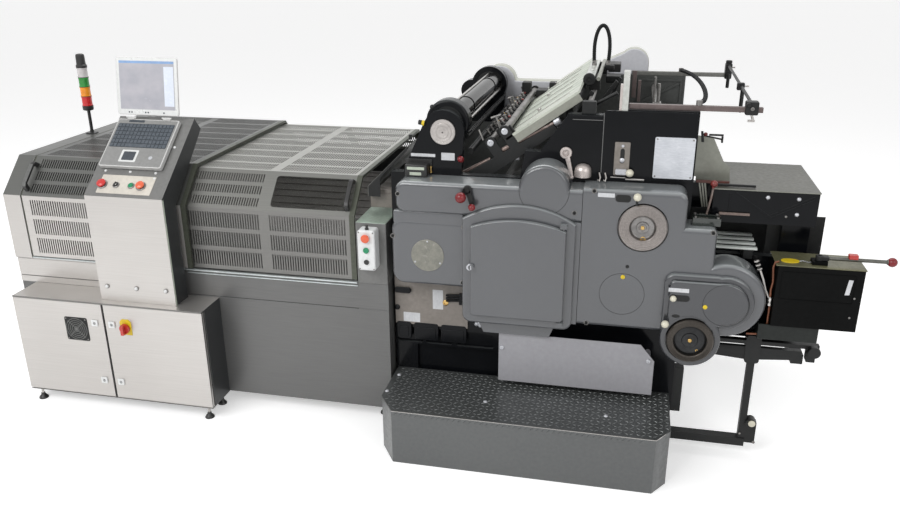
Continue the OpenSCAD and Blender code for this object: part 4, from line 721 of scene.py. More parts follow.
def makeGuard(side):
    x0, x1, _, half, z0, top = mmBox("guard_" + side)
    body, length, bend = "guard_" + side, x1 - x0, guardLook["bend"][side]
    rise, run, s = (top - bend) * math.sqrt(2), half - top + bend, math.sqrt(0.5)
    walls, slopes, roof = Shape(), Shape(), Shape()
    for face in (-1, 1):
        start, along, up = (x0 if face < 0 else x1), (-face, 0, 0), (0, -face * s, s)
        walls.takeMesh(*slotted((start, face * half, z0), upward, along, length, bend - z0,
                                guardLook["wallRows"]))
        if side == "right" and face < 0:  # one bay of slots, then the opening of the clear window
            bay = (length - 2 * guardLook["sideMargin"] - guardLook["bayGap"]) / 2
            cut = guardLook["sideMargin"] + bay + guardLook["bayGap"] / 2
            slopes.takeMesh(*slotted((x0, -half, bend), up, along, cut, rise, guardLook["slopeRows"], 1,
                                     sideMargin=(cut - bay) / 2 + 4))
            slopes.takeMesh(*slotted((x0 + cut, -half, bend), up, along, length - cut, rise, 1, 1,
                                     slot=length - cut - 56, pitch=2000, **guardLook["window"]))
        else:
            slopes.takeMesh(*slotted((start, face * half, bend), up, along, length, rise, guardLook["slopeRows"]))
    roof.takeMesh(*slotted((x0, -run, top), level, (1, 0, 0), length, 2 * run, guardLook["roofRows"]))
    # a dark lining behind the far side's slots
    line = [(half - 9, z0 + 6), (half - 9, bend - 3.7), (run - 3.7, top - 9), (run - 5, top - 12),
            (half - 12, bend - 5), (half - 12, z0 + 6)]
    if side == "right":
        line = line[:2] + line[4:]
    Shape().plate(line, x0 + 14, x1 - 14, u=level, edge=0).done("guardLining_" + side, "satinBlack", body=body)
    bands, proud = Shape(), guardLook["proud"]
    outer = hoodLine(half + proud, bend, top + proud, z0)
    inner = hoodLine(half - 12, bend - 5, top - 12, z0)
    for x, wide in ((x0, guardLook["endBand"]), (x1 - guardLook["band"], guardLook["band"])):
        for k in range(5):
            bands.plate([outer[k], outer[k + 1], inner[k + 1], inner[k]], x, x + wide, u=level, edge=0.5)
    skin = guardSkins[side]
    walls.done("guardWalls_" + side, skin[0], "brushed_stainless", (body, body + "_grille"), body)
    slopes.done("guardSlopes_" + side, skin[1], "graphite_paint", body, body)
    roof.done("guardRoof_" + side, skin[2], "graphite_paint", body, body)
    bands.done("guardBands_" + side, "bandOlive", "graphite_paint", body, body)


makeGuard("left")
makeGuard("right")
print("sliding guards")

# pieces that need only a list of shapes, or a CAD node with softer edges


def build(name, skin, slot=None, replaces=(), body="press", sharp=38, place=None, **steps):
    # a piece from rows of values for the steps of Shape, such as block=[(x0, x1, y0, y1, z0, z1)]
    shape = Shape()
    for kind, rows in steps.items():
        for row in rows:
            getattr(shape, kind)(*row)
    if place is not None:
        shape.moved(place)
    shape.done(name, skin, slot, replaces, body, sharp)


def rounded(name, node, skin, slot, width, turn=40, body="press", paint=()):
    # a CAD node with round edges, where each test in paint gives its faces the next finish
    shape = copyOf(node).soften(width, turn)
    for index, chosen in enumerate(paint, 1):
        shape.paint(index, chosen)
    shape.done(name, skin, slot, node, body)


# cabinet: folded doors with locks, fan grille and main switch

cabinetLook = {"sheet": 3, "rim": 24, "gap": 3.5, "lock": 17, "lockHeights": (95, 103), "lockInset": (47, 37),
               "fan": (284, 312, 128), "fanRings": 5, "fanScrews": (9, 119), "wire": 2.2,
               "plateHalf": 31, "plateTop": 46, "plateBottom": 38, "chamfer": 14}


def cabinetDoor(side):
    x0, x1, y0, y1, z0, z1 = mmBox("cabinet_door_" + side)
    face, rim = y0 + 8, cabinetLook["rim"]
    if side == "left":
        x1 -= cabinetLook["gap"]
    else:
        x0 += cabinetLook["gap"]
    leaf = Shape().block(x0, x1, face, face + cabinetLook["sheet"], z0, z1, 1.3)
    for a0, a1, b0, b1 in ((x0, x0 + rim, z0, z1), (x1 - rim, x1, z0, z1), (x0 + rim, x1 - rim, z0, z0 + rim),
                           (x0 + rim, x1 - rim, z1 - rim, z1)):
        leaf.block(a0, a1, face + 2, y1, b0, b1, 0.8)
    body = "cabinet_door_" + side
    leaf.done("cabinetDoor_" + side, "brushedStainless", "brushed_stainless", body, body)
    return x0, x1, face, z0, z1


def doorLocks(side, x0, x1, face, z0, z1):
    body = "cabinet_door_" + side
    lockX = x1 - cabinetLook["lockInset"][0] if side == "left" else x0 + cabinetLook["lockInset"][1]
    plates, holes, half = Shape(), Shape(), cabinetLook["lock"]
    for z in (z1 - cabinetLook["lockHeights"][1], z0 + cabinetLook["lockHeights"][0]):
        plates.onFront(roundRect(lockX - half, lockX + half, z - half, z + half, 3), face, 7, 1.6)
        holes.turned((lockX + 1, face - 7, z), front, [(7, -1), (7, 0.6), (5.5, 0.6), (5, -0.4), (0, -0.4)], 20)
        holes.block(lockX - 0.5, lockX + 2.5, face - 8.0, face - 7, z - 4, z + 4, 0.3)
    plates.done("lockPlates_" + side, "whitePlastic", "white_plastic", body=body)
    holes.done("lockKeyholes_" + side, "satinBlack", body=body)


def fanGrille(x, z, side, face):
    body, wire = "cabinet_door_left", cabinetLook["wire"]
    plate = Shape().onFront(roundRect(x, x + side, z, z + side, 9), face, 2.5, 1.0)
    plate.done("fanPlate", "satinBlack", "black_plastic", body=body)
    mid = (x + side / 2, face - 3.5, z + side / 2)
    grille = Shape()
    for k in range(cabinetLook["fanRings"]):
        grille.tube([(a, mid[1], b) for a, b in ringLine(mid[0], mid[2], 14 + 11 * k, 40)], wire, 8, True)
    for k in range(4):
        a = math.pi / 4 + math.pi / 2 * k
        grille.rod(mid, (mid[0] + 62 * math.cos(a), mid[1], mid[2] + 62 * math.sin(a)), wire, 0.5, 8)
    grille.turned((mid[0], face - 2, mid[2]), front, [(10, 0), (10, 3), (8, 4), (0, 4)], 20)
    grille.done("fanGrille", "gripGray", "black_plastic", body=body)
    for dx in cabinetLook["fanScrews"]:
        for dz in cabinetLook["fanScrews"]:
            screw((x + dx, face - 2.5, z + dz), front, 4, "dullSteel", "dome", body)


def switchPlate(face):
    x0, x1, _, _, z0, z1 = mmBox("main_switch_knob")
    x, z, half, cut = (x0 + x1) / 2, (z0 + z1) / 2, cabinetLook["plateHalf"], cabinetLook["chamfer"]
    low, high = z - cabinetLook["plateBottom"], z + cabinetLook["plateTop"]
    outline = [(x - half, low), (x + half, low), (x + half, high - cut), (x + half - cut, high),
               (x - half + cut, high), (x - half, high - cut)]
    Shape().onFront(outline, face, 3.4, 0.8).done("switchPlate", "yellowPlastic", body="cabinet_door_right")


leftDoor, rightDoor = cabinetDoor("left"), cabinetDoor("right")
doorFace, doorFoot, doorTop = rightDoor[2:]
build("doorSeal", "satinBlack", body="cabinet_door_right", block=[
    (leftDoor[1] - 1, rightDoor[0] - 0.2, doorFace + 7, doorFace + 11, doorFoot + 3, doorTop - 3, 0.5)])
doorLocks("left", *leftDoor)
doorLocks("right", *rightDoor)
fanX, fanZ, fanSide = cabinetLook["fan"]
fanGrille(leftDoor[0] + fanX, leftDoor[3] + fanZ, fanSide, leftDoor[2])
switchPlate(doorFace)
rounded("switchKnob", "main_switch_knob", "redPlastic", "red_plastic", 2.5, body="main_switch")
cx0, cx1, _, cy1, cz0, cz1 = mmBox("cabinet_body")
build("cabinetTrim", "darkStainless", "brushed_stainless", block=[
    (cx0, cx1, doorFace + 0.4, doorFace + 3, cz1 - 7, cz1, 0.4),
    (cx1 - 3, cx1 + 0.4, doorFace + 1, doorFace + 9, cz0, cz1 - 7, 0.4)])
# the cabinet's sides take painted shade, and its top is stainless
rounded("cabinetCase", "cabinet_body", "graphitePaint darkSide brushedStainless", "graphite_paint", 1.2, paint=(
    lambda normal, at: abs(normal.x) > 0.5, lambda normal, at: normal.z > 0.5))

ex0, ex1, _, _, ez0, _ = mmBox("extension_base")
feet = [(x, y, cz0) for x in (cx0 + 40, cx1 - 40) for y in (doorFace + 30, cy1 - 20)]
feet += [(x, y, ez0) for x in (ex0 + 40, (ex0 + ex1) / 2 + 35, ex1 - 60) for y in (-640, 640)]
pad = Shape().turned((0, 0, 0), upward, [(24, 0), (24, 5), (20, 11), (11, 21), (10, 30), (0, 30)], 20)
pads = repeated(pad, [((x, y, 0), upward, 1.0, 0.0) for x, y, _ in feet], "blackPlastic")
pads.done("footPads", "blackPlastic", "black_plastic", "levelling_feet")
stems = Shape()
for x, y, z in feet:
    stems.rod((x, y, 29), (x, y, z + 1), 7, 0.5, 12).turned((x, y, z - 9), upward, [(13, 0), (13, 9)], 6)
stems.done("footStems", "machinedSteel", "galvanised", "levelling_feet")
print("cabinet")

# base under the guards, end frame, post and the slotted cover before the delivery head

coverLook = {"sideMargin": 40, "edgeMargin": 22, "lowMargin": 14, "bayGap": 34, "rows": 2}
bodyBox, frontBox = mmBox("console_body"), mmBox("console_front")
besideConsole, postX = bodyBox[1] + 1, mmBox("delivery_post")[0] - 1
build("baseFacing", "brushedStainless", "brushed_stainless", block=[
    (ex0, bodyBox[0] - 2, -709, -704, 643, 737, 0.8), (ex0, bodyBox[0] - 2, -709, -704, 606, 639, 0.8),
    (ex0, bodyBox[0] - 2, -711, -700, 739, 747, 0.8)])
rounded("extensionBase", "extension_base", "graphitePaint", "graphite_paint", 1.5)
build("baseSeam", "satinBlack", block=[(besideConsole, postX, -705.5, -700, 604, 612, 0.4)])
build("guardTracks", "galvanised", "galvanised", "guard_rails", block=[
    (besideConsole, postX, -709, -701, 728, 733, 0.6), (-2700, postX, -716, -702, 745, 752, 0.8),
    (-2700, postX, 702, 716, 745, 752, 0.8)])
rounded("endFrame", "end_frame", "brushedStainless darkHood", "brushed_stainless", 1.5, paint=(
    lambda normal, at: abs(normal.z) > 0.3,))
_, nx1, _, ny1, _, nz1 = mmBox("end_frame")
build("endScreen", "satinBlack", plate=[
    (hoodLine(ny1 - 58, 1065.3, nz1 - 58, 1000), nx1 - 8, nx1 - 5, (0, 0, 0), level, upward, 0)])
rounded("deliveryPost", "delivery_post", "postGray greenSteel", "post_green", 4, paint=(
    lambda normal, at: normal.z > 0.5 and at.z > 1000,))


def makeCover():
    x0, x1, y0, y1, z0, z1 = mmBox("fixed_guard")
    bend = z1 - (x1 - x0)
    cover, away = Shape(), (0, -1, 0)
    for at, up, tall, rows, margin in (
            ((x0, y1, bend), (1, 0, 1), (x1 - x0) * math.sqrt(2), coverLook["rows"], coverLook["edgeMargin"]),
            ((x0, y1, z0), upward, bend - z0, 1, coverLook["lowMargin"])):
        cover.takeMesh(*slotted(at, up, away, y1 - y0, tall, rows, sideMargin=coverLook["sideMargin"],
                                edgeMargin=margin, bayGap=coverLook["bayGap"]))
    cover.done("fixedGuard", "darkHood", "graphite_paint", "fixed_guard")
    side = [(x0 + 2, z0), (x0 + 60, z0), (x0 + 60, bend + 40),
            (x1 - 1, z1 - 14), (x1 - 1, z1 - 2), (x0 + 2, bend)]
    build("fixedGuardEnds", "satinBlack", "graphite_paint", "fixed_guard", plate=[
        (side, -y - 3, -y, (0, 0, 0), (1, 0, 0), upward, 0.6) for y in (y0, y1 - 3)])


makeCover()
# both handles are black; the left handle's faces turned front and up take gray as a painted sheen
for side, skin in (("left", "blackPlastic gripGray"), ("right", "blackPlastic blackPlastic")):
    node = "guard_" + side + "_handle"
    rounded("guardHandle_" + side, node, skin, "black_plastic", 4, 30, "guard_" + side, (
        lambda normal, at: normal.y < -0.5 and abs(normal.z - normal.y) > 1,))
print("base, post, fixed guard, handles")

# console with its desk and buttons

desk = {"bolts": (-2184, -2022, -1862), "boltRow": 683, "strip": (-2175, -1890, 19, 127), "back": 51,
        "screws": ((-2173, 150), (-2040, 150), (-1904, 150), (-1899, 119), (-1861, 308)), "buttonRow": 68,
        "buttons": {  # place along the desk, radius, finish
            "stopButton": (-2157, 22, "mushroomRed"), "keySwitch": (-2083, 13, "blackPlastic"),
            "startButton": (-2003, 13, "greenPlastic"), "resetButton": (-1951, 21, "mushroomOrange")},
        "mushroom": 20}
deskAngle = math.atan2(bodyBox[5] - frontBox[5], bodyBox[3] - desk["back"] - frontBox[2])
deskPlace = Matrix.Translation((0, frontBox[2], frontBox[5])) @ Matrix.Rotation(deskAngle, 4, "X")
deskUp = deskPlace.to_3x3() @ Vector(upward)

# the console's sides take painted shade, and its desk is gray
rounded("consoleBody", "console_body", "graphitePaint deskGray darkSide", "graphite_paint", 5, 25, paint=(
    lambda normal, at: normal.z > 0.6 and normal.y < -0.3, lambda normal, at: abs(normal.x) > 0.5))
build("consoleFront", "brushedStainless", "brushed_stainless", "console_front", block=[(*frontBox, 1.3)])
# a pale strip along the right edge of the console front: a painted highlight
build("consoleEdge", "paleEdge", block=[
    (frontBox[1] - 1.2, frontBox[1] + 0.4, frontBox[2] + 3, frontBox[2] + 12, frontBox[4], frontBox[5] - 4, 0.3)])
for x in desk["bolts"]:
    screw((x, frontBox[2], desk["boltRow"]), front, 12, "dullSteel", "flat")
    screw((x, frontBox[2] - 5, desk["boltRow"]), front, 9, "whitePlastic", "dome")
for x, y in desk["screws"]:
    screw(deskPlace @ Vector((x, y, 0)), deskUp, 7, "whitePlastic", "dome")
build("deskStrip", "stripGray", place=deskPlace, flat=[(roundRect(*desk["strip"], 4), -0.3, 1.6, 0.5)])


def pushButtons():
    collars, y = Shape(), desk["buttonRow"]
    for name, (x, r, skin) in desk["buttons"].items():
        collars.turned((x, y, 1), upward, [(r + 4, 0), (r + 4, 4), (r + 1, 6), (r - 2, 6)], 28)
        profile = [(r, 0), (r, 5), (r * 0.88, 7), (0, 7)]
        if r > desk["mushroom"]:
            profile = [(r * 0.55, 0), (r * 0.55, 7), (r, 9), (r, 14), (r * 0.86, 17), (r * 0.4, 19), (0, 19.5)]
        cap = Shape().turned((x, y, 4), upward, profile, 32)
        if name == "keySwitch":
            cap.block(x - 3, x + 3, y - 11, y + 11, 10, 17, 1)
        cap.moved(deskPlace).done(name, skin, "red_plastic", "push_buttons")
    build("keyBarrel", "machinedSteel", place=deskPlace, turned=[
        ((desk["buttons"]["keySwitch"][0], y, 10), upward, [(7, 0), (7, 3), (5, 4), (0, 4)], 24)])
    collars.moved(deskPlace).done("buttonCollars", "dullSteel", None, "push_buttons")


boxLook = {"boxStop": (162, 20, 16, "mushroomOrange"), "boxStart": (102, 14, 8, "greenPlastic"),
           "boxJog": (44, 12, 8, "blackPlastic"),  # height in the box, radius, how far it stands out, finish
           "screws": 34}


def buttonBox():
    x0, x1, face, _, z0, z1 = mmBox("button_box")
    x = (x0 + x1) / 2
    for name in ("boxStop", "boxStart", "boxJog"):
        z, r, tall, skin = boxLook[name]
        build(name, skin, None, "push_buttons", turned=[
            ((x, face, z0 + z), front, [(r * 0.7, -1), (r * 0.7, tall - 8), (r, tall - 6), (r, tall - 2),
                                        (r * 0.85, tall), (0, tall + 0.5)], 28)])
    build("boxGland", "blackPlastic", turned=[
        ((x, face + 22, z1 - 1), upward, [(9, 0), (9, 8), (6, 10), (6, 20), (5, 22), (0, 22)], 16)])
    for dx in (-boxLook["screws"], boxLook["screws"]):
        for z in (z0 + 9, z1 - 9):
            screw((x + dx, face + 0.5, z), front, 3.5, "dullSteel", "dome")


pushButtons()
buttonBox()

# laptop: base on the desk, lid on its own body at the hinge

laptop = {"low": 162, "high": 455, "thick": 26, "hinge": (5, 6.7), "lean": -9,
          "keyRows": 6, "keyColumns": 15, "keyStart": (26, 289), "keyStep": 24.5, "key": (8.6, 9.6, 2.2),
          "spaceBar": range(4, 10), "touchPad": (-2098, -2032, 200, 252), "padFrame": (-2110, -2020, 190, 262),
          "speaker": (-2145, -2059, 433, 448), "marks": (60, 74, 150, 164, 250)}
lx0, lx1 = mmBox("laptop_base")[:2]
low, high, top = laptop["low"], laptop["high"], laptop["thick"]
hingeY, hingeZ = high + laptop["hinge"][0], top + laptop["hinge"][1]


def laptopBase():
    case = Shape().flat(roundRect(lx0, lx1, low, high, 10), 3, top, 3)
    for x in (lx0 + 24, lx1 - 24):
        for y in (low + 24, high - 24):
            case.turned((x, y, 0.2), upward, [(9, 0), (9, 3.5)], 16)
    for x in (lx0 + 50, lx1 - 90):
        case.rod((x - 6, hingeY, hingeZ), (x + 46, hingeY, hingeZ), 4.2, 0.6, 16)
        case.block(x, x + 40, high - 4, high + 4, top - 8, top + 6, 1.5)
    case.moved(deskPlace).done("laptopBase", "laptopSilver", "laptop_silver", "laptop_base")
    build("laptopDeck", "deckGray", place=deskPlace, flat=[
        (roundRect(lx0 + 6, lx1 - 6, low + 4, high - 6, 7), top - 0.5, top + 0.5, 0.4)])
    build("touchPatch", "laptopTrim", place=deskPlace, flat=[
        (roundRect(*laptop["padFrame"], 5), top - 0.3, top + 0.7)])
    build("laptopDark", "keyGray", place=deskPlace, flat=[
        (roundRect(*outline, r), top - 0.2, top + 1.0) for outline, r in (
            ((lx0 + 14, lx1 - 14, 277, 425), 6), (laptop["touchPad"], 4), (laptop["speaker"], 3))])
    wide, deep, tall = laptop["key"]
    (inset, y), last = laptop["keyStart"], laptop["keyColumns"] - 1
    x, step, keyZ = lx0 + inset, (lx1 - lx0 - 2 * inset) / last, top + 0.8
    keys = [((x + k * step, y + row * laptop["keyStep"], keyZ), upward, 1.0, 0.0)
            for row in range(laptop["keyRows"]) for k in range(last + 1) if row or k not in laptop["spaceBar"]]
    caps = repeated(Shape().block(-wide, wide, -deep, deep, 0, tall, 0.7), keys, "keyCap")
    caps.block(x + 3.6 * 20.2, x + 9.4 * 20.2, y - deep, y + deep, keyZ, keyZ + tall, 0.7)
    caps.moved(deskPlace).done("laptopKeys", "keyCap")
    build("laptopDisc", "plateMetal", place=deskPlace, turned=[
        ((-1946, 219, top), upward, [(10, 0), (10, 1.2), (0, 1.2)], 24)])


def laptopLid():
    place = Matrix.Translation(deskPlace @ Vector((lx0, hingeY, hingeZ)))
    place = place @ Matrix.Rotation(math.radians(laptop["lean"]), 4, "X")
    wide, tall = lx1 - lx0, high - low
    for name, skin, outline, r, d0, d1, edge in (
            ("lidShell", "laptopSilver", (0, wide, 12, tall), 12, -4.5, 3.6, 1.5),
            ("lidBezel", "laptopTrim", (3, wide - 3, 15, tall - 3), 10, 3.2, 4.3, 0.4),
            ("lidScreen", "screenGlow", (18, wide - 18, 40, tall - 18), 2, 4.1, 4.7, 0.2),
            ("screenBar", "screenBlue", (18, wide - 18, tall - 30, tall - 18), 1, 4.6, 4.9, 0.1),
            ("screenColumn", "screenPale", (wide - 74, wide - 22, 58, tall - 44), 1, 4.6, 4.9, 0.1)):
        shape = Shape().plate(roundRect(*outline, r), d0, d1, edge=edge).moved(place)
        shell = name == "lidShell"
        shape.done(name, skin, "laptop_silver" if shell else None, "laptop_screen" if shell else (), "laptop_lid")
    marks = Shape()
    for x in laptop["marks"]:
        marks.plate(roundRect(x, x + 8, 22, 29, 1.5), 4.2, 4.8, edge=0.2)
    marks.moved(place).done("lidMarks", "keyGray", body="laptop_lid")


laptopBase()
laptopLid()
print("console and laptop")

# stack light

towerLook = {"lamps": ("Red", "Orange", "Green", "Clear"), "joint": 29.3, "stem": 9}
tx0, tx1, _, _, tz0, tz1 = mmBox("stack_lamps")
stemBox = mmBox("stack_light_stem")
towerX, lamp, capTop = (tx0 + tx1) / 2, (tz1 - tz0) / len(towerLook["lamps"]), stemBox[5] - tz1
for k, name in enumerate(towerLook["lamps"]):
    build("lamp_" + name, "lamp" + name, "lamp_lens", "stack_lamps", turned=[
        ((towerX, 0, tz0 + k * lamp), upward, [(27, 0), (29, 1), (29, 6), (27.5, 7), (27.5, lamp - 8),
                                               (29, lamp - 7), (29, lamp - 2), (27, lamp - 0.6)], 36)])
build("stackTower", "blackPlastic", "black_plastic", "stack_light_stem", turned=[
    ((towerX, 0, tz1), upward, [(30, 0), (30, 12), (25, 18), (24, 62), (22, 72), (15, capTop), (0, capTop)], 36),
    ((towerX, 0, tz0 - 30), upward, [(14, 0), (28, 5), (30, 12), (30, 30)], 36),
    *(((towerX, 0, tz0 + k * lamp - 1.6), upward, [(24, 0), (towerLook["joint"], 0), (towerLook["joint"], 3),
                                                   (24, 3)], 36) for k in range(1, 4)),
    ((towerX, 0, stemBox[4]), upward, [(35, 0), (35, 3), (32, 6), (12, 8), (11, 18), (0, 18)], 32)],
    rod=[((towerX, 0, stemBox[4] + 4), (towerX, 0, tz0 - 28), towerLook["stem"], 0.5, 20)])
print("stack light")

# castings on the operator's side and what is fixed to them

coverY, raisedY, doorY = mmBox("gear_cover")[2], mmBox("raised_cover")[2], mmBox("access_door")[2] + 14
lowerY, sideY = coverY + 10, mmBox("side_frame_front")[2]
castings = {
    "coverBolts": ((97, 1180), (90, 1057), (176, 1283), (174, 668), (676, 1128), (-389, 1083), (-690, 1222)),
    "lowerBolts": ((-722, 1018), (-396, 812)), "boltRadius": 11, "badge": (-559, 933, 77), "badgeScrews": 68,
    "discs": ((320, 820, 97), (-37, 1270, 108)), "lobe": (756, 820, 95), "face": (521, 915, 21, 724, 690),
    "dots": ((320, 902, coverY), (672, 807, raisedY)), "slot": (520, 606, 824, 854, 14.8),
    "oval": (555, 754, 17, 8), "coverSlot": (266, 330, 1240, 1272, 13), "latch": 918,
    "labels": ((515, 600, 866, 884, raisedY - 0.4), (192, 262, 1258, 1276, coverY), (-567, -516, 612, 713, -640),
               (-715, -632, 534, 583, -640)),
    "knobs": ((513, raisedY - 18, 719, 17), (537, raisedY - 10, 838, 14), (356, coverY - 12, 1268, 17),
              (317, sideY - 20, 1338, 17)),
}


def coverMarks():
    rims, r = Shape(), castings["boltRadius"]
    rim = [(r, -2), (r, 1.2), (r * 0.82, 1.6), (r * 0.74, -0.6), (0, -0.6)]
    for places, y in ((castings["coverBolts"], coverY), (castings["lowerBolts"], lowerY)):
        for x, z in places:
            rims.turned((x, y, z), front, rim, 24)
            screw((x, y + 1, z), front, r * 0.62, "satinBlack")
    rims.done("boltRims", "dullSteel")
    x, z, r = castings["badge"]
    build("badge", "badgeMetal", turned=[
        ((x, lowerY + 1, z), front, [(r, 0), (r, 3), (r - 2, 4.4), (r - 5, 4.4), (r - 7, 3.2), (0, 3.2)], 64)])
    for a, b in arc(x, z, castings["badgeScrews"], 90, 330, 2):
        screw((a, lowerY - 2.4, b), front, 4.5, "plateMetal", "dome")
    lines = [(castings["discs"][0], coverY), (castings["discs"][1], coverY), (castings["lobe"], raisedY - 0.6)]
    build("discLines", "satinBlack", tube=[
        ([(a, y, b) for a, b in ringLine(x, z, r, 96)], 0.9, 8, True) for (x, z, r), y in lines])
    build("greaseDots", "yellowPlastic", turned=[
        ((x, y - 1, z), front, [(9.5, 0), (9.5, 2), (7, 3.5), (0, 4)], 20) for x, z, y in castings["dots"]])


def coverFittings():
    lower, upper = mmBox("lower_cover"), mmBox("upper_cover")
    build("coverJoint", "coverEnamel", block=[
        (lower[0] + 10, -392, lowerY + 1, lowerY + 40, lower[5] - 24, upper[4] + 3, 9)])
    build("bareLabels", "labelPaper", onFront=[
        (roundRect(*outline, 2), y, 1.0, 0.2) for *outline, y in castings["labels"]])
    build("ivoryKnobs", "ivoryPlastic", rod=[((513, raisedY + 4, 719), (513, raisedY - 8, 719), 6, 0.4, 12)],
          ball=[((x, y, z), r, front) for x, y, z, r in castings["knobs"]])
    build("knobStems", "satinBlack", rod=[
        ((356, coverY + 2, 1262), (356, coverY - 2, 1225), 5, 0.4, 12),
        ((356, coverY + 4, 1268), (356, coverY - 6, 1268), 6, 0.4, 12),
        ((317, sideY + 2, 1338), (317, sideY - 10, 1338), 6, 0.4, 12)])
    build("doorLatch", "plateMetal", body="access_door", turned=[
        ((mmBox("access_door")[0] + 6, doorY + 1, castings["latch"]), front,
         [(13, 0), (13, 4), (9, 6), (9, 9), (14, 11), (14, 14), (11, 14.8), (0, 14.8)], 28)],
          block=[(-345, -341, doorY - 16.5, doorY - 13, 908, 928, 0.6)])


def raisedFace():
    # the stepped casting gets one smooth face, with its slot and holes
    left, top, r, foot, low = castings["face"]
    x, z, lobe = castings["lobe"]
    face = arc(left + r, top - r, r, 180, 90, 6) + arc(x, z, lobe, 90, -90, 12)
    face += [(742, foot), (728, 716), (716, 700), (700, low), (690, 700), (668, 738), (624, 752), (580, 746),
             (546, foot), (left, 700)]
    cap = Shape().plate(face[::-1], -15, 0.6, at=(0, raisedY, 0), edge=0)
    rim = [e for e in cap.bm.edges if all(abs(v.co.y - (raisedY - 0.6)) < 0.01 for v in e.verts)]
    bmesh.ops.bevel(cap.bm, geom=rim, offset=9, segments=5, affect="EDGES", profile=0.5, clamp_overlap=True)
    cap.done("raisedFace", "raisedEnamel", "hammertone_gray", sharp=50)
    a, b, c, d, r = castings["slot"]
    x, z, rx, rz = castings["oval"]
    build("slotRim", "raisedEnamel", onFront=[
        (roundRect(a - 3, b + 3, c - 3, d + 3, 17), raisedY, 1.6, 0.8, 0)])
    build("coverHoles", "satinBlack", onFront=[
        (roundRect(*castings["slot"]), raisedY, 2.0, 0.3, 0), (ringLine(x, z, rx, 24, rz), raisedY, 1.2, 0.3, 0),
        (roundRect(*castings["coverSlot"]), coverY, 1.2, 0.3, 0)],
          turned=[((336, coverY + 1, 951), front, [(8, 0), (8, 1.6), (0, 1.6)], 20)])


coverMarks()
raisedFace()
coverFittings()

# handwheels

wheelLook = {"grooves": 5,  # finish of rim and dish, radius of the dish, place and radius of the brass plug
             "upper": ("wheelSteel", "dishSteel", 55, (392, 1079, 12)),
             "lower": ("wheelBronze", "dishBlack", 70, (657, 598, 6)),
             "shafts": ((387, coverY, 60, 1131), (624, raisedY, 50, 645))}


def handwheel(side):
    node, name = "handwheel_" + side, side + "Wheel"
    skinRing, skinDish, dish, (plugX, plugZ, plug) = wheelLook[side]
    x0, x1, y0, _, z0, z1 = mmBox(node)
    x, z, r = (x0 + x1) / 2, (z0 + z1) / 2, (x1 - x0) / 2
    ring = [(r - 14, -10), (r, -4), (r, 18), (r - 5, 24)]
    step = (r - 11 - dish) / wheelLook["grooves"]
    for k in range(wheelLook["grooves"]):
        edge = r - 5 - k * step
        ring += [(edge - step * 0.86, 24.6), (edge - step * 0.93, 23.6)]
    ring += [(dish + 3, 24), (dish, 21), (dish, 2), (dish - 6, -10)]
    build(name + "Ring", skinRing, "machined_steel", node, node, turned=[((x, y0 + 24, z), front, ring, 96)])
    inner = [(dish + 1, -8), (dish + 1, 6), *((dish * share, height) for share, height in (
        (0.86, 9), (0.8, 7), (0.5, 7), (0.46, 11), (0.3, 12), (0.26, 10))), (0, 10)]
    build(name + "Dish", skinDish, body=node, turned=[((x, y0 + 24, z), front, inner, 72)])
    build(name + "Brass", "brass", body=node, turned=[
        ((x, y0 + 15, z), front, [(9, 0), (9, 4), (7, 6), (3, 6.5), (0, 5)], 20),
        ((plugX, y0 + 19, plugZ), front, [(plug, -6), (plug, 3), (plug * 0.6, 3.5), (0, 1)], 20)])


handwheel("upper")
handwheel("lower")
build("wheelShafts", "dullSteel", rod=[
    ((x, y + back, z), (x, y + 16, z), 20, 0.5) for x, y, back, z in wheelLook["shafts"]])

# impression lever

lever = {"hub": (-369, 1262), "armDepth": (8, 22), "big": (-22, -25, 24), "small": (24, -72, 16)}


def impressionLever():
    x, z = lever["hub"]
    (bigX, bigZ, bigR), (smallX, smallZ, smallR) = lever["big"], lever["small"]
    body, at = "impression_lever", (0, coverY, 0)

    def arm(*corners):
        return [(x + a, z + b) for a, b in corners], *lever["armDepth"], at

    def stem(dx, dz, reach, radius):
        return (x + dx, coverY - 20, z + dz), (x + dx, coverY - reach, z + dz), radius, 0.5, 14

    build("leverArms", "satinBlack", None, body, body, turned=[
        ((x, coverY - 8, z), front, [(19, 0), (19, 12), (16, 14), (11, 14), (11, 20), (0, 20)], 28)],
          plate=[arm((-8, -7), (14, -78), (33, -72), (14, 0)), arm((-31, -20), (-14, -34), (4, -12), (-14, 8))],
          rod=[stem(bigX, bigZ, 40, 7), stem(smallX, smallZ, 30, 6)])
    build("leverBalls", "knobRed", "red_plastic", body, body, ball=[
        ((x + bigX, coverY - 58, z + bigZ), bigR, front, 36),
        ((x + smallX, coverY - 40, z + smallZ), smallR, front)])


impressionLever()
print("covers and handwheels")

# bed, kick panel and step

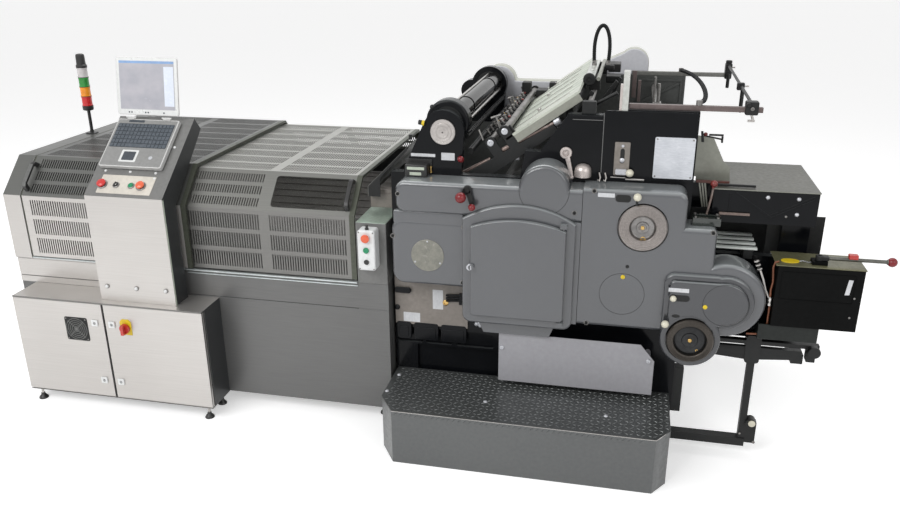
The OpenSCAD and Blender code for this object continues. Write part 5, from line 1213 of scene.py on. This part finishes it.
bed = {"pockets": ((-752, -676), (-664, -540), (-528, -400)), "y": -630, "ribs": 3, "ribStep": 14,
       "washerScrews": ((-338, 556), (-322, 566), (-352, 548), (-334, 542)),
       "panelScrews": ((-214, 482), (462, 480))}
pockets = []
for x0, x1 in bed["pockets"]:
    pockets += [(roundRect(x0, x1, 440, 532, 14), bed["y"], 14, 5, 0),
                (roundRect(x0 + 14, x1 - 14, 452, 508, 9), bed["y"], 17, 2, -13)]
ribs = [([(-500, z), (-418, z + 6), (-418, z + 14), (-500, z + 8)], bed["y"], 24, 2, -10)
        for z in (660 + bed["ribStep"] * k for k in range(bed["ribs"]))]
build("bedPlate", "taupePaint", "black_enamel", block=[(-756, -395, -640, -629, 520, 800, 1.5)])
build("bedPockets", "blackEnamel", onFront=[
    *pockets, (roundRect(-755, -672, 688, 716, 13), bed["y"], 26, 4, -10), *ribs,
    (roundRect(-436, -412, 648, 706, 4), bed["y"], 22, 2, -10)],
      turned=[((-745, -638, 607), front, [(13, 0), (13, 8), (9, 12), (0, 13)], 24)])
build("brassWasher", "brass", turned=[
    ((-503, -640, 650), front, [(14, 0), (14, 5), (11, 7), (7, 7), (6, 4), (0, 4)], 28)])
for x, z in bed["washerScrews"]:
    screw((x, -634, z), front, 11, "plateMetal", "dome")
rounded("kickPanel", "kick_panel", "panelGray", "panel_gray", 1.5)
for x, z in bed["panelScrews"]:
    screw((x, -723, z), front, 10, "plateMetal")

stepLook = {"pitch": 25, "lug": (14.5, 3.6, 1.9), "lugTurn": 40, "foldStart": -650, "foldLugs": 45, "nosing": 2,
            "bolts": ((-724, -720), (-738, -884), (-262, -888), (290, -900))}


def makeStep():
    x0, x1, y0, y1, _, top = mmBox("step")
    box = copyOf("step").soften(2.2)
    for v in box.bm.verts:
        if v.co.y < y0 + 3:
            v.co.y += stepLook["nosing"]
    box.paint(1, lambda normal, at: normal.z > 0.5)
    box.done("stepBox", "stepPaint treadSteel", "hammertone_gray", "step")

    def onTread(x, y):
        # clear of the edges and of the two cut corners
        return (x0 + 14 < x < x1 - 14 and y0 + 12 < y < y1 - 8 and (x - x0) * 126 + (y - y0) * 80 > 11580
                and (x1 - x) * 90 + (y - y0) * 61 > 6690)

    long, wide, tall = stepLook["lug"]
    lug = Shape()
    corners = [lug.bm.verts.new(c) for c in (
        (-long, 0, -0.4), (0, -wide, -0.4), (long, 0, -0.4), (0, wide, -0.4),
        (-long * 0.6, 0, tall), (0, -1.6, tall), (long * 0.6, 0, tall), (0, 1.6, tall))]
    for k in range(4):
        j = (k + 1) % 4
        lug.bm.faces.new([corners[k], corners[j], corners[j + 4], corners[k + 4]])
    lug.bm.faces.new(corners[4:])
    lug.bm.faces.new(corners[3::-1])
    pitch, turn = stepLook["pitch"], math.radians(stepLook["lugTurn"])
    grid = [(x0 + 8 + k * pitch, y0 + 6 + row * pitch, (row + k) % 2) for row in range(60) for k in range(90)]
    places = [((x, y, top), upward, 1.0, turn if even else -turn) for x, y, even in grid if onTread(x, y)]
    places += [((stepLook["foldStart"] + k * pitch, y0 + stepLook["nosing"], top - 13), front, 1.0, turn)
               for k in range(stepLook["foldLugs"])]
    repeated(lug, places, "treadSteel").done("treadLugs", "treadSteel", sharp=20)
    z = top - 1.5
    # a bright steel line along the tread's front edge: worn bare steel and a painted highlight
    build("treadEdge", "machinedSteel", tube=[
        ([(x0 + 2, y0 + 126, z), (x0 + 83, y0 + 2, z), (x1 - 62, y0 + 2, z), (x1 - 2, y0 + 92, z)], 1.7, 8)])
    for x, y in stepLook["bolts"]:
        screw((x, y, top), upward, 10, "plateMetal", "dome")


makeStep()
print("bed, kick panel and step")

# side frames, rear cover and what is fixed to them

frameLook = {"plate": (413, 579, 1317, 1496), "plateScrews": ((422, 570), (1326, 1487)), "clips": (188, 213)}
rounded("sideFrameFront", "side_frame_front", "blackEnamel", "black_enamel", 4, 30)
build("frameSeams", "graphitePaint", block=[(193, 196, sideY - 0.8, sideY + 1, 1330, 1590, 0.3),
                                            (62, 190, sideY - 0.6, sideY + 1, 1556, 1559, 0.3)])
build("bedShoulder", "taupePaint", "black_enamel", block=[(-888, -768, -562, -505, 1084, 1176, 6),
                                                          (-888, -768, -566, -561, 1150, 1157, 1.5)])
build("gripperGuide", "taupePaint", onFront=[(roundRect(247, 312, 1322, 1468, 5), sideY, 5, 1, 1)])
build("guideSlot", "satinBlack", onFront=[(roundRect(272, 290, 1376, 1440, 8), sideY, 5.6, 0.4, -4)])
build("guideFoot", "plateMetal", onFront=[(roundRect(255, 304, 1326, 1352, 6), sideY, 16, 3, -4)], turned=[
    ((281, sideY - 5, 1390), front, [(10, 0), (10, 4), (6, 7), (0, 7)], 20),
    ((281, sideY - 5, 1452), front, [(6, 0), (6, 3), (0, 4)], 16)])
build("barePlate", "plaqueMetal", onFront=[(roundRect(*frameLook["plate"], 7), sideY, 3, 0.8)])
for x in frameLook["plateScrews"][0]:
    for z in frameLook["plateScrews"][1]:
        screw((x, sideY - 3, z), front, 4, "dullSteel", "dome")
build("wireClips", "machinedSteel", tube=[
    ([(x, sideY - 4, 1330), (x + 6, sideY - 14, 1310), (x + 3, sideY - 22, 1296), (x - 4, sideY - 16, 1300)],
     4.2, 8)
    for x in frameLook["clips"]], rod=[((300, sideY - 2, 1306), (380, sideY - 2, 1306), 5, 0.5, 12),
                                       ((236, sideY - 2, 1312), (300, sideY - 2, 1312), 3, 0.5, 12)])
rounded("rearCover", "rear_cover", "rearGray rimBeige", "panel_gray", 12, 30, paint=(
    lambda normal, at: normal.z > 0.42 or normal.x > 0.8,))

# delivery head

head = {"at": (-511, 1479), "reach": 522, "tube": (36, 58, 45), "rings": (-518, -300, 300, 514),
        "rods": ((-52, 10, 522, 20, 1, 28), (14, 102, 521, 5, 0.5, 12), (74, 16, 521, 9, 0.5, 16)),
        "teeth": 34, "toothStep": 30.6, "tooth": (98, -22), "bar": (88, -40, 12),
        "face": -630, "fittings": -634, "knob": (-427, 1362), "oilCup": (-569, 1290)}
dx, dz = head["at"]
headFront, reach = mmBox("delivery_rollers")[2], head["reach"]
faceY, fittingY, (knobX, knobZ) = head["face"], head["fittings"], head["knob"]


def across(x, z, half, radius, edge=0.8, sides=24):
    # a rod that lies across the press
    return (x, -half, z), (x, half, z), radius, edge, sides


build("headDisc", "discSteel", "machined_steel", "delivery_rollers", turned=[
    ((dx, headFront + 16, dz), front, [
        (57, 0), (57, 8), (55, 10), (41, 10), (40, 13), (38, 14), (30, 14), (29, 12.8), (27, 12.8), (26, 14),
        (16, 14.4), (15, 13.4), (5, 13.4), (4, 15.6), (0, 15.8)], 64)])
build("discCentre", "satinBlack", turned=[((dx, headFront + 1, dz), front, [(3, 0), (3, 1.2), (0, 1.2)], 16)])
rounded("deliveryHead", "delivery_head", "blackEnamel", "bed_iron", 5, 30)
build("barrelCaps", "satinBlack", turned=[
    ((-500, y, 1515), level, [(70, 0), (72, 3), (72, 3.5), (0, 4)], 48) for y in (-592, 516)])
tubeX, tubeZ = dx + head["tube"][0], dz + head["tube"][1]
build("suctionTube", "tubeEnamel", "black_enamel", "delivery_rollers", rod=[
    across(tubeX, tubeZ, reach, head["tube"][2], 2, 40)],
      turned=[((tubeX, y, tubeZ), level, [(46, 0), (48, 1), (48, 9), (46, 10)], 40) for y in head["rings"]])
build("guideRods", "machinedSteel", "machined_steel", "delivery_rollers", rod=[
    across(dx + x, dz + z, *rest) for x, z, *rest in head["rods"]])
comb = [((dx + head["tooth"][0], -505 + head["toothStep"] * k, dz + head["tooth"][1]), (0.8, 0, 0.6), 1.0, 0.0)
        for k in range(head["teeth"])]
combBar = repeated(Shape().block(-4, 4, -7, 7, -22, 16, 1.5), comb, "satinBlack")
barX, barZ, barR = head["bar"]
combBar.rod(*across(dx + barX, dz + barZ, reach, barR, 0.5, 16))
combBar.done("stripperComb", "satinBlack", "black_enamel")
build("headLabels", "labelPaper", onFront=[
    (roundRect(-662, -548, 1362, 1376, 2), faceY, 1.4, 0.3),
    (roundRect(-520, -458, 1350, 1384, 2), faceY, 1.4, 0.3)])
build("headKnob", "knobRed", ball=[((knobX, faceY - 18, knobZ), 15, front)],
      rod=[((knobX, faceY + 2, knobZ), (knobX, faceY - 10, knobZ), 6, 0.4, 12)])
build("headStub", "satinBlack", rod=[((-592, fittingY, 1516), (-622, fittingY, 1520), 11, 1, 16)],
      ball=[((-560, faceY + 4, 1588), 11)], block=[(-668, -654, faceY - 12, faceY + 2, 1440, 1462, 2)])
build("headBand", "yellowPlastic", rod=[((-594, fittingY, 1516), (-606, fittingY, 1518), 12, 1, 16)])
x, z = head["oilCup"]
build("oilCup", "brass", turned=[
    ((x, fittingY, z), upward, [(7, 0), (7, 6), (4, 8), (4, 22), (7, 24), (7, 30), (0, 32)], 16)])
bx0, bx1, by0, by1, bz0, bz1 = mmBox("counter_box")
build("counterBox", "blackPlastic", "black_plastic", "counter_box", block=[
    (bx0 + 11, bx1 - 10, by0, by1, bz0, bz1 - 15, 5), (bx0, bx1, by1 - 4, by1, bz0, bz1, 1.5)])
build("counterWindows", "paleEdge", onFront=[
    (roundRect(bx0 + 22, bx1 - 22, bz1 - 37, bz1 - 24, 2), by0, 1, 0.3),
    (roundRect(bx0 + 34, bx1 - 36, bz0 + 8, bz0 + 22, 2), by0, 1, 0.3)])
print("delivery head")

# feed board

board = {"low": (-230, 1440), "high": (85, 1662), "thick": 12, "tapes": range(-400, 401, 100), "tapeHalf": 9,
         "rules": (-440, -250, -50, 150, 330, 440), "stops": (-360, 60, 420),
         "bearers": ((-165, 1390, 560), (35, 1510, 580)), "bearerBlocks": (-470, 470)}
_, _, by0, by1, _, _ = mmBox("feedboard")
boardLow = Vector((board["low"][0], 0, board["low"][1]))
rise = Vector((board["high"][0], 0, board["high"][1])) - boardLow
along, length = rise.normalized(), rise.length
boardPlace = Matrix.Translation(boardLow) @ Matrix((along, level, (-along.z, 0, along.x))).transposed().to_4x4()
build("feedBoard", "boardGreen", "pale_green", "feedboard", place=boardPlace, block=[
    (0, length, by0, by1, 0, board["thick"], 1.5)])
build("boardEdge", "olivePaint", None, "feedboard", place=boardPlace, block=[
    (6, length - 8, by0 + 1, by0 + 9, -34, 1, 1.5)])
build("feedTapes", "tapeGreen", place=boardPlace, block=[
    (2, length - 4, y - board["tapeHalf"], y + board["tapeHalf"], 11.6, 12.9, 0.3) for y in board["tapes"]])
build("boardRules", "machinedSteel", place=boardPlace, block=[
    *((30, length - 60, y - 2, y + 2, 12.5, 15, 0.5) for y in board["rules"]),
    *((150, 160, y - 40, y + 40, 12.6, 15.5, 0.6) for y in board["stops"])],
      turned=[((155, y, 15), upward, [(9, 0), (9, 5), (6, 8), (0, 8)], 20) for y in board["stops"]])
slope = along.z / along.x
build("boardBearers", "satinBlack", None, "feedboard", rod=[
    across(x, z, half, 14, 0.6) for x, z, half in board["bearers"]], block=[
    (x - 15, x + 15, y - 10, y + 10, z - 10, 1444 + (x - 15 - boardLow.x) * slope, 1.5)
    for x, z, _ in board["bearers"] for y in board["bearerBlocks"]])
build("boardTube", "rosyBrown", rod=[((-269, -560, 1381), (-17, -560, 1528), 11, 0.8, 20),
                                     ((-431, -560, 1279), (-305, -560, 1349), 9, 0.6, 16)])
build("tubeCap", "plateMetal", rod=[((-24, -560, 1524), (2, -560, 1539), 18, 3, 24)], block=[
    (-203, -180, -520, -516, 1338, 1401, 1), (-32, -14, -502, -498, 1489, 1542, 1)])

# lay bars with their blocks, screws and springs

lay = {"bars": ((-304, 1426), (-241, 1481)), "barRadius": 17, "lean": (-0.55, 0, 0.83),
       "tScrews": (  # top and foot in x and z, place across, half the cross piece
           ((-362, 1479), (-341, 1431), -556, 0), ((-287, 1539), (-267, 1485), -540, 24),
           ((-302, 1520), (-285, 1472), 440, 0), ((-377, 1464), (-354, 1406), 440, 0),
           ((-330, 1500), (-310, 1450), 180, 14), ((-300, 1530), (-285, 1470), 60, 0)),
       "springs": (11, -470, 92), "blocks": (12, -500, 88), "red": (-380, 90, 420),
       "brass": (-300, -90, 250, 380), "tripping": (40, -640, 1410)}


def layMechanism():
    lean, steel = lay["lean"], Shape()
    for x, z in lay["bars"]:
        steel.rod(*across(x, z, 558, lay["barRadius"]))
    for (x0, z0), (x1, z1), y, cross in lay["tScrews"]:
        steel.rod((x0, y, z0), (x1, y, z1), 5, 0.8, 12)
        if cross:
            down = Vector((x1 - x0, 0, z1 - z0)).normalized()
            top, side = Vector((x0, y, z0)), Vector((down.z, 0, -down.x)) * cross
            steel.rod(top - side, top + side, 5, 0.8, 12)
    count, start, step = lay["springs"]
    for y in (start + step * k for k in range(count)):
        steel.turned((-277, y, 1478), lean, [(7, 0), (7, 16), (11, 18), (11, 24), (8, 26), (0, 26)], 14)
        steel.turned((-330, y + 40, 1432), lean, [(5, 0), (5, 22), (9, 24), (9, 29), (0, 29)], 12)
    steel.done("laySteel", "dullSteel", "machined_steel", "lay_bars")
    count, start, step = lay["blocks"]
    places = [place for y in (start + step * k for k in range(count))
              for place in (((-262, y, 1458), lean, 1.0, 0.0), ((-322, y + 30, 1405), lean, 0.9, 0.0))]
    small = Shape().block(-20, 20, -14, 14, -10, 26, 3)
    small.turned((0, 0, 26), upward, [(8, 0), (8, 8), (6, 10), (0, 10)], 14)
    dark = repeated(small, places, "satinBlack")
    dark.plate([(-233, 1497), (-221, 1508), (-170, 1451), (-184, 1441)], 548, 562, edge=2)
    for block in ((-146, -108, 410, 470, 1499, 1550, 4), (-215, -150, 380, 480, 1462, 1512, 5),
                  (-300, -250, 430, 490, 1475, 1545, 5)):
        dark.block(*block)
    dark.rod(*across(-400, 1380, 556, 14, 0.8, 20)).done("layBlocks", "satinBlack", "black_enamel")
    build("layRedBits", "rustRed", block=[block for y in lay["red"] for block in (
        (-292, -276, y, y + 22, 1484, 1492, 1.5), (-262, -250, y + 40, y + 55, 1498, 1505, 1.5))])
    build("layBrass", "brass", turned=[
        ((-310, y, 1462), lean, [(6, 0), (6, 10), (3, 12), (0, 12)], 14) for y in lay["brass"]])


rounded("layPlates", "lay_bars", "satinBlack", "black_enamel", 2, 30)
build("layCaps", "plateMetal", turned=[
    ((x, -577, z), front, [(15, -4), (15, 6), (12, 8), (5, 8), (4, 6.5), (0, 6.5)], 24) for x, z in lay["bars"]])
layMechanism()
x, y, z = lay["tripping"]
build("trippingLever", "pinkSteel", tube=[([(a, y, b) for a, b in ringLine(x, z, 20, 28)], 6, 10, True)],
      turned=[((x, y + 6, z), front, [(26, 0), (26, 9), (23, 12), (15, 12), (12, 8), (12, 4), (0, 4)], 40),
              ((x, y, z), front, [(6, 0), (6, 3), (4, 5), (0, 5)], 20),
              ((x + 77, y, z - 100), upward, [(37, 0), (37, 24), (34, 38), (25, 49), (11, 55), (0, 56)], 40)],
      plate=[([(36, 1392), (58, 1394), (78, 1306), (64, 1302)], 634, 646, (0, 0, 0), (1, 0, 0), upward, 3)],
      ball=[((x + 31, y, z - 108), 9)])
print("feed board and lay")

# suction head of the feeder, its rails, clamps and hoses

z = 1578  # the line on which the suction head stands


def strap(corners, d0, d1):
    # a flat strip in x and z, from -d1 to -d0 across the press
    return corners, d0, d1, (0, 0, 0), (1, 0, 0), upward, 2


build("headBlocks", "satinBlack", "black_enamel", "feeder_head", block=[
    *((98, 158, y, y + 35, z, z + 56, 5) for y in (-625, 590)),
    *((104, 156, y, y + 14, z + 46, z + 98, 4) for y in (-262, 340)),
    (164, 206, 115, 145, z + 86, z + 112, 5), (140, 170, 121, 139, z + 90, z + 106, 3),
    (172, 236, 300, 420, 1630, 1672, 5), (168, 240, 120, 200, 1600, 1636, 5)],
      turned=[((106, -290, z + 101), front,
               [(26, 0), (28, 2), (28, 18), (24, 22), (12, 22), (10, 17), (0, 17)], 32)],
      plate=[strap([(150, 1560), (172, 1560), (238, 1660), (226, 1672)], 236, 250),
             strap([(196, 1556), (214, 1556), (250, 1640), (238, 1648)], -20, -4),
             strap([(60, 1540), (90, 1540), (140, 1640), (124, 1650)], 420, 436)],
      rod=[((120, -420, 1572), (240, -420, 1640), 9, 0.8, 14)])
build("suctionBar", "barSilver", "machined_steel", "feeder_head", block=[
    (84, 128, -300, 362, z + 94, z + 108, 3), (265, 291, -631, -590, z, 1765, 2)],
      turned=[((106, y, z + 108), upward, [(9, -1), (9, 4), (6, 6), (0, 6)], 16) for y in range(-180, 301, 120)])
build("headShafts", "dullSteel", "machined_steel", "feeder_head", rod=[
    across(128, z + 36, 590, 13), across(420, 1516, 580, 15), ((410, 0, 1516), (410, 0, 1655), 6, 0.8, 16),
    ((430, 0, 1516), (430, 0, 1623), 8, 0.8, 16)], block=[(404, 446, -26, 26, 1498, 1534, 4)])
build("headOliveBar", "olivePaint", None, "feeder_head",
      rod=[((148, -310, z + 104), (148, 362, z + 104), 9, 0.8, 16)])
build("railPost", "pinkSteel", None, "feeder_head", block=[(254, 266, -629, -590, z, z + 130, 2)])
build("headStrips", "railBrown", None, "feeder_head", block=[
    (300, 322, 300, 312, 1500, 1640, 2), (330, 345, 180, 190, 1500, 1610, 2)])
build("railNear", "railBrown", "machined_steel", "feeder_rails", block=[(294, 834.5, -610, -586, 1605, 1627, 2)])
build("railFar", "railGray", "machined_steel", "feeder_rails", block=[(294, 826.5, 586, 610, 1578, 1600, 2)])
build("railClamps", "satinBlack", "black_enamel", "rail_clamps", block=[
    (763, 815, -624, -576, 1596, 1652, 6), (789, 825, 574, 622, 1569, 1652, 6),
    (776, 810, -143, -117, 1622, 1656, 4)],
      rod=[((807, 598, 1650), (807, 598, 1667), 17, 3), ((807, 564, 1524), (807, 564, 1600), 9, 2, 16),
           ((789, -578, 1639), (807, 578, 1639), 7, 0.5, 16), ((803, -130, 1532), (803, -130, 1628), 9, 3, 16),
           ((772, -640, 1640), (772, -616, 1640), 9, 2, 16)], ball=[((803, -130, 1528), 11)])
build("clampScrews", "machinedSteel", rod=[((800, -606, 1572), (790, -606, 1598), 5, 1, 12),
                                           ((826, 598, 1630), (842, 598, 1630), 5, 1, 12)],
      block=[(778, 806, -610, -602, 1566, 1576, 2), (812, 830, -134, -126, 1636, 1644, 2)])
screw((789, -624, 1624), front, 8, "dullSteel")
screw((807, 622, 1624), level, 6, "dullSteel")

hose = {"radius": 9, "loop": (140, 130, 1770), "legs": (1686, 1690), "halfWide": 38, "foot": 34, "top": 112,
        "bow": ((580, -598, 1637), (559, 598, 1610)), "bowOut": 44, "bowUp": 26, "ribStep": 9}


def makeHoses():
    x, y, z = hose["loop"]
    wide, foot = hose["halfWide"], hose["foot"]
    legs = [(math.sin(k / 8 * math.pi / 2), k / 8) for k in range(9)]
    near, far = hose["legs"]
    loop = [(x - foot - (wide - foot) * out, y, near + t * (z - near)) for out, t in legs]
    loop += [(x + wide * math.cos(a), y, z + hose["top"] * math.sin(a))
             for a in (math.pi - math.pi * k / 24 for k in range(1, 24))]
    loop += [(x + foot + (wide - foot) * out, y, far + t * (z - far)) for out, t in legs[::-1]]
    (ax, ay, az), (bx, by, bz) = hose["bow"]
    bow = [(ax + (bx - ax) * t + hose["bowOut"] * math.sin(math.pi * t ** 0.55), ay + (by - ay) * t,
            az + (bz - az) * t + hose["bowUp"] * math.sin(math.pi * t)) for t in (k / 28 for k in range(29))]
    build("suctionHoses", "hoseRubber", "hose_rubber", "hoses", tube=[
        (loop, hose["radius"], 16), (bow, hose["radius"], 16)])
    ribs = []
    for line in (loop, bow):
        for a, b in zip(line, line[1:]):
            a, b = Vector(a), Vector(b)
            steps = max(1, int((b - a).length / hose["ribStep"]))
            ribs += [(a.lerp(b, (s + 0.5) / steps), (b - a).normalized(), 1.0, 0.0) for s in range(steps)]
    hoop = Shape().turned((0, 0, 0), upward, [(8.6, -2.2), (10, -0.9), (10, 0.9), (8.6, 2.2)], 16)
    repeated(hoop, ribs, "hoseRubber").done("hoseRibs", "hoseRubber", "hose_rubber", "hoses")
    build("hoseFittings", "dullSteel", None, "hoses", turned=[
        ((x + side * foot, y, low), upward, [(12, 0), (12, h * 0.5), (10, h * 0.55), (10, h)], 20)
        for side, low, h in ((-1, near, 26), (1, far, 22))],
          rod=[((x, y, z - 10), (x, y, z + up), 13, 1) for (x, y, z), up in zip(hose["bow"], (11, 10))])


makeHoses()
print("suction head, rails and hoses")

# feeder housing, its plates and what stands on them

feeder = {"plateScrews": ((895, 1254), (1019, 1253), (1019, 1185)), "topScrews": ((604, 696), (-704, -652)),
          "strips": 3, "slats": (4, -590, 64, 25), "bearers": (620, 830)}
rounded("feederHousing", "feeder_housing", "blackEnamel", "black_enamel", 2.5, 30)
build("feederApron", "satinBlack", "black_enamel", block=[
    (600, 990, -334, -329, 900, 1137, 1), (600, 990, -560, -556, 1132, 1172, 1),
    (930, 1165, -500, -495, 960, 1142, 1)])
plates = copyOf("feeder_plates").soften(2, 30).block(560, 606, -503, -498, 1298, 1480, 0.5)
plates.paint(1, lambda normal, at: normal.z > 0.5).paint(2, lambda normal, at: at.z < 1010)
plates.paint(3, lambda normal, at: at.z < 1200 and at.x < 740 and at.y < -630)
plates.done("feederPlates", "olivePaint oliveTop pumpOlive bracketGreen", "olive_paint", "feeder_plates")
for x, z in feeder["plateScrews"]:
    screw((x, -630, z), front, 9, "plateMetal", "dome")
screw((977, -630, 1174), front, 6, "dullSteel", "dome")
for x in feeder["topScrews"][0]:
    for y in feeder["topScrews"][1]:
        screw((x, y, 1172), upward, 6, "dullSteel")
build("feederBarBrown", "rustBrown", block=[(602, 741, -566, -554, 1286, 1298, 2)])
build("feederBarLow", "rosyBrown", block=[(703, 830, -640, -632, 1170, 1182, 2)])
build("feederBlades", "satinBlack", block=[
    (690, 846, -606, -594, 1287, 1297, 2), (640, 700, -520, -512, 1484, 1492, 1),
    (694, 702, -506, -494, 1452, 1480, 1)],
      onFront=[([(606, 1500), (616, 1500), (624, 1452), (612, 1452)], -500, 4, 0.5, 0)],
      rod=[((620, -500, 1480), (700, -500, 1466), 4, 0.5, 12)],
      turned=[((716, -400, 1284), upward, [(9, -1), (9, 0.6), (0, 0.6)], 20)])
build("feederRedKnobs", "rustRed", ball=[((627, -500, 1486), 9), ((671, -640, 1305), 15, front)],
      rod=[((671, -640, 1303), (668, -640, 1286), 6, 0.6, 14)])
build("feederLever", "rosyBrown", tube=[([(670, -640, 1296), (664, -642, 1240), (652, -650, 1172)], 5, 10)])
build("feederStrips", "olivePaint", onFront=[
    ([(612 + 12 * k, 1290), (619 + 12 * k, 1290), (643 + 10 * k, 1178), (636 + 10 * k, 1178)], -556, 6, 0.6, 0)
    for k in range(feeder["strips"])])
count, start, step, wide = feeder["slats"]
build("feederSlats", "slatWhite", "slat_white", "feeder_slats", block=[
    (600, 888, y, y + wide, 1000, 1010, 2.5) for y in (start + step * k for k in range(count))])
build("slatBearers", "satinBlack", None, "feeder_slats", block=[
    (x, x + 40, -592, -340, 960, 1000, 1.5) for x in feeder["bearers"]])

# pump box with its stop lever and pipes

pump = {"y": -770, "tag": (1003, -716, 37, 24), "links": 8, "lever": (-720, 1032),
        "screws": ((1262, 880), (1256, 792)),
        "pipeY": -745,  # the copper pipe runs down behind the front of the box, in x from its side and z
        "pipe": ((12, 1013), (-2, 1008), (-7, 985), (-3, 950), (0, 920), (-4, 885), (-3, 846), (0, 795),
                 (0, 700), (-6, 682), (-40, 672), (-80, 670))}
rounded("pumpBox", "pump_box", "pumpBlack", "black_enamel", 5, 30)
tagX, tagY, tagWide, tagDeep = pump["tag"]
build("ovalTag", "yellowPlastic", flat=[(ringLine(tagX, tagY, tagWide, 32, tagDeep), 1006, 1011, 1.2)])
link = Shape().tube([(a, b, 0) for a, b in ringLine(0, 0, 4.2, 10, 2.4)], 0.9, 6, True)
chain = [((1042 + 7 * k, tagY + 6 * math.sin(k), 1010), upward, 1.0, 0.9 * (k % 2)) for k in range(pump["links"])]
repeated(link, chain, "plateMetal").done("tagChain", "plateMetal")
y, z = pump["lever"]
build("stopHub", "satinBlack", None, "stop_lever", "stop_lever",
      block=[(1115, 1150, y - 15, y + 15, z - 9, z + 9, 3)],
      turned=[((1115, y, z - 9), upward, [(17, 0), (17, 18), (14, 20), (8.6, 20)], 28)])
build("stopRod", "oliveSteel", "machined_steel", "stop_lever", "stop_lever",
      rod=[((1148, y, z), (1380, y, z), 8, 0.8, 18)],
      turned=[((1374, y, z), (1, 0, 0), [(10, 0), (12, 3), (9, 8)], 18)])
build("stopBall", "knobRed", "red_plastic", "stop_lever", "stop_lever", ball=[((1394, y, z), 20, (1, 0, 0), 32)])
build("stopCollar", "redPlastic", body="stop_lever", block=[(1225, 1262, y - 14, y + 14, z + 4, z + 24, 4)])
build("pumpLabel", "labelPaper", onFront=[
    ([(1222, 893), (1240, 894), (1247, 960), (1230, 961)], pump["y"], 1.2, 0.2)])
for x, z in pump["screws"]:
    screw((x, pump["y"], z), front, 5, "dullSteel", "dome")
px, y = mmBox("pump_box")[0] - 9, pump["pipeY"]
build("copperPipe", "copper", tube=[([(px + x, y, z) for x, z in pump["pipe"]], 4.5, 10)])
build("pipeUnion", "machinedSteel", tube=[
    ([(885, y, 968), (900, y, 932), (px - 26, y, 880), (px - 8, y, 848)], 5, 10)], turned=[
    ((px - 2, y, 812), upward, [(11, 0), (11, 12), (8, 14), (8, 20), (11, 22), (11, 34), (7, 38)], 12),
    *(((866 + 8 * k, y, 1006 - 17 * k), (-0.35, 0, 0.93), [(11, 0), (11, 6), (8, 8), (0, 8)], 6)
      for k in range(3))])
rounded("oilPan", "oil_pan", "trayGreen", "olive_paint", 4, 30)
rounded("pileFrame", "pile_frame", "satinBlack", "black_enamel", 2, 30)
build("footDisc", "ivoryPlastic", turned=[((954, -664, 176), front, [(16, 0), (16, 4), (12, 6), (0, 6)], 24)])
screw((908, -652, 110), front, 6, "dullSteel", "dome")
screw((975, -650, 70), front, 7, "dullSteel")
print("feeder and pump")

growScrews()
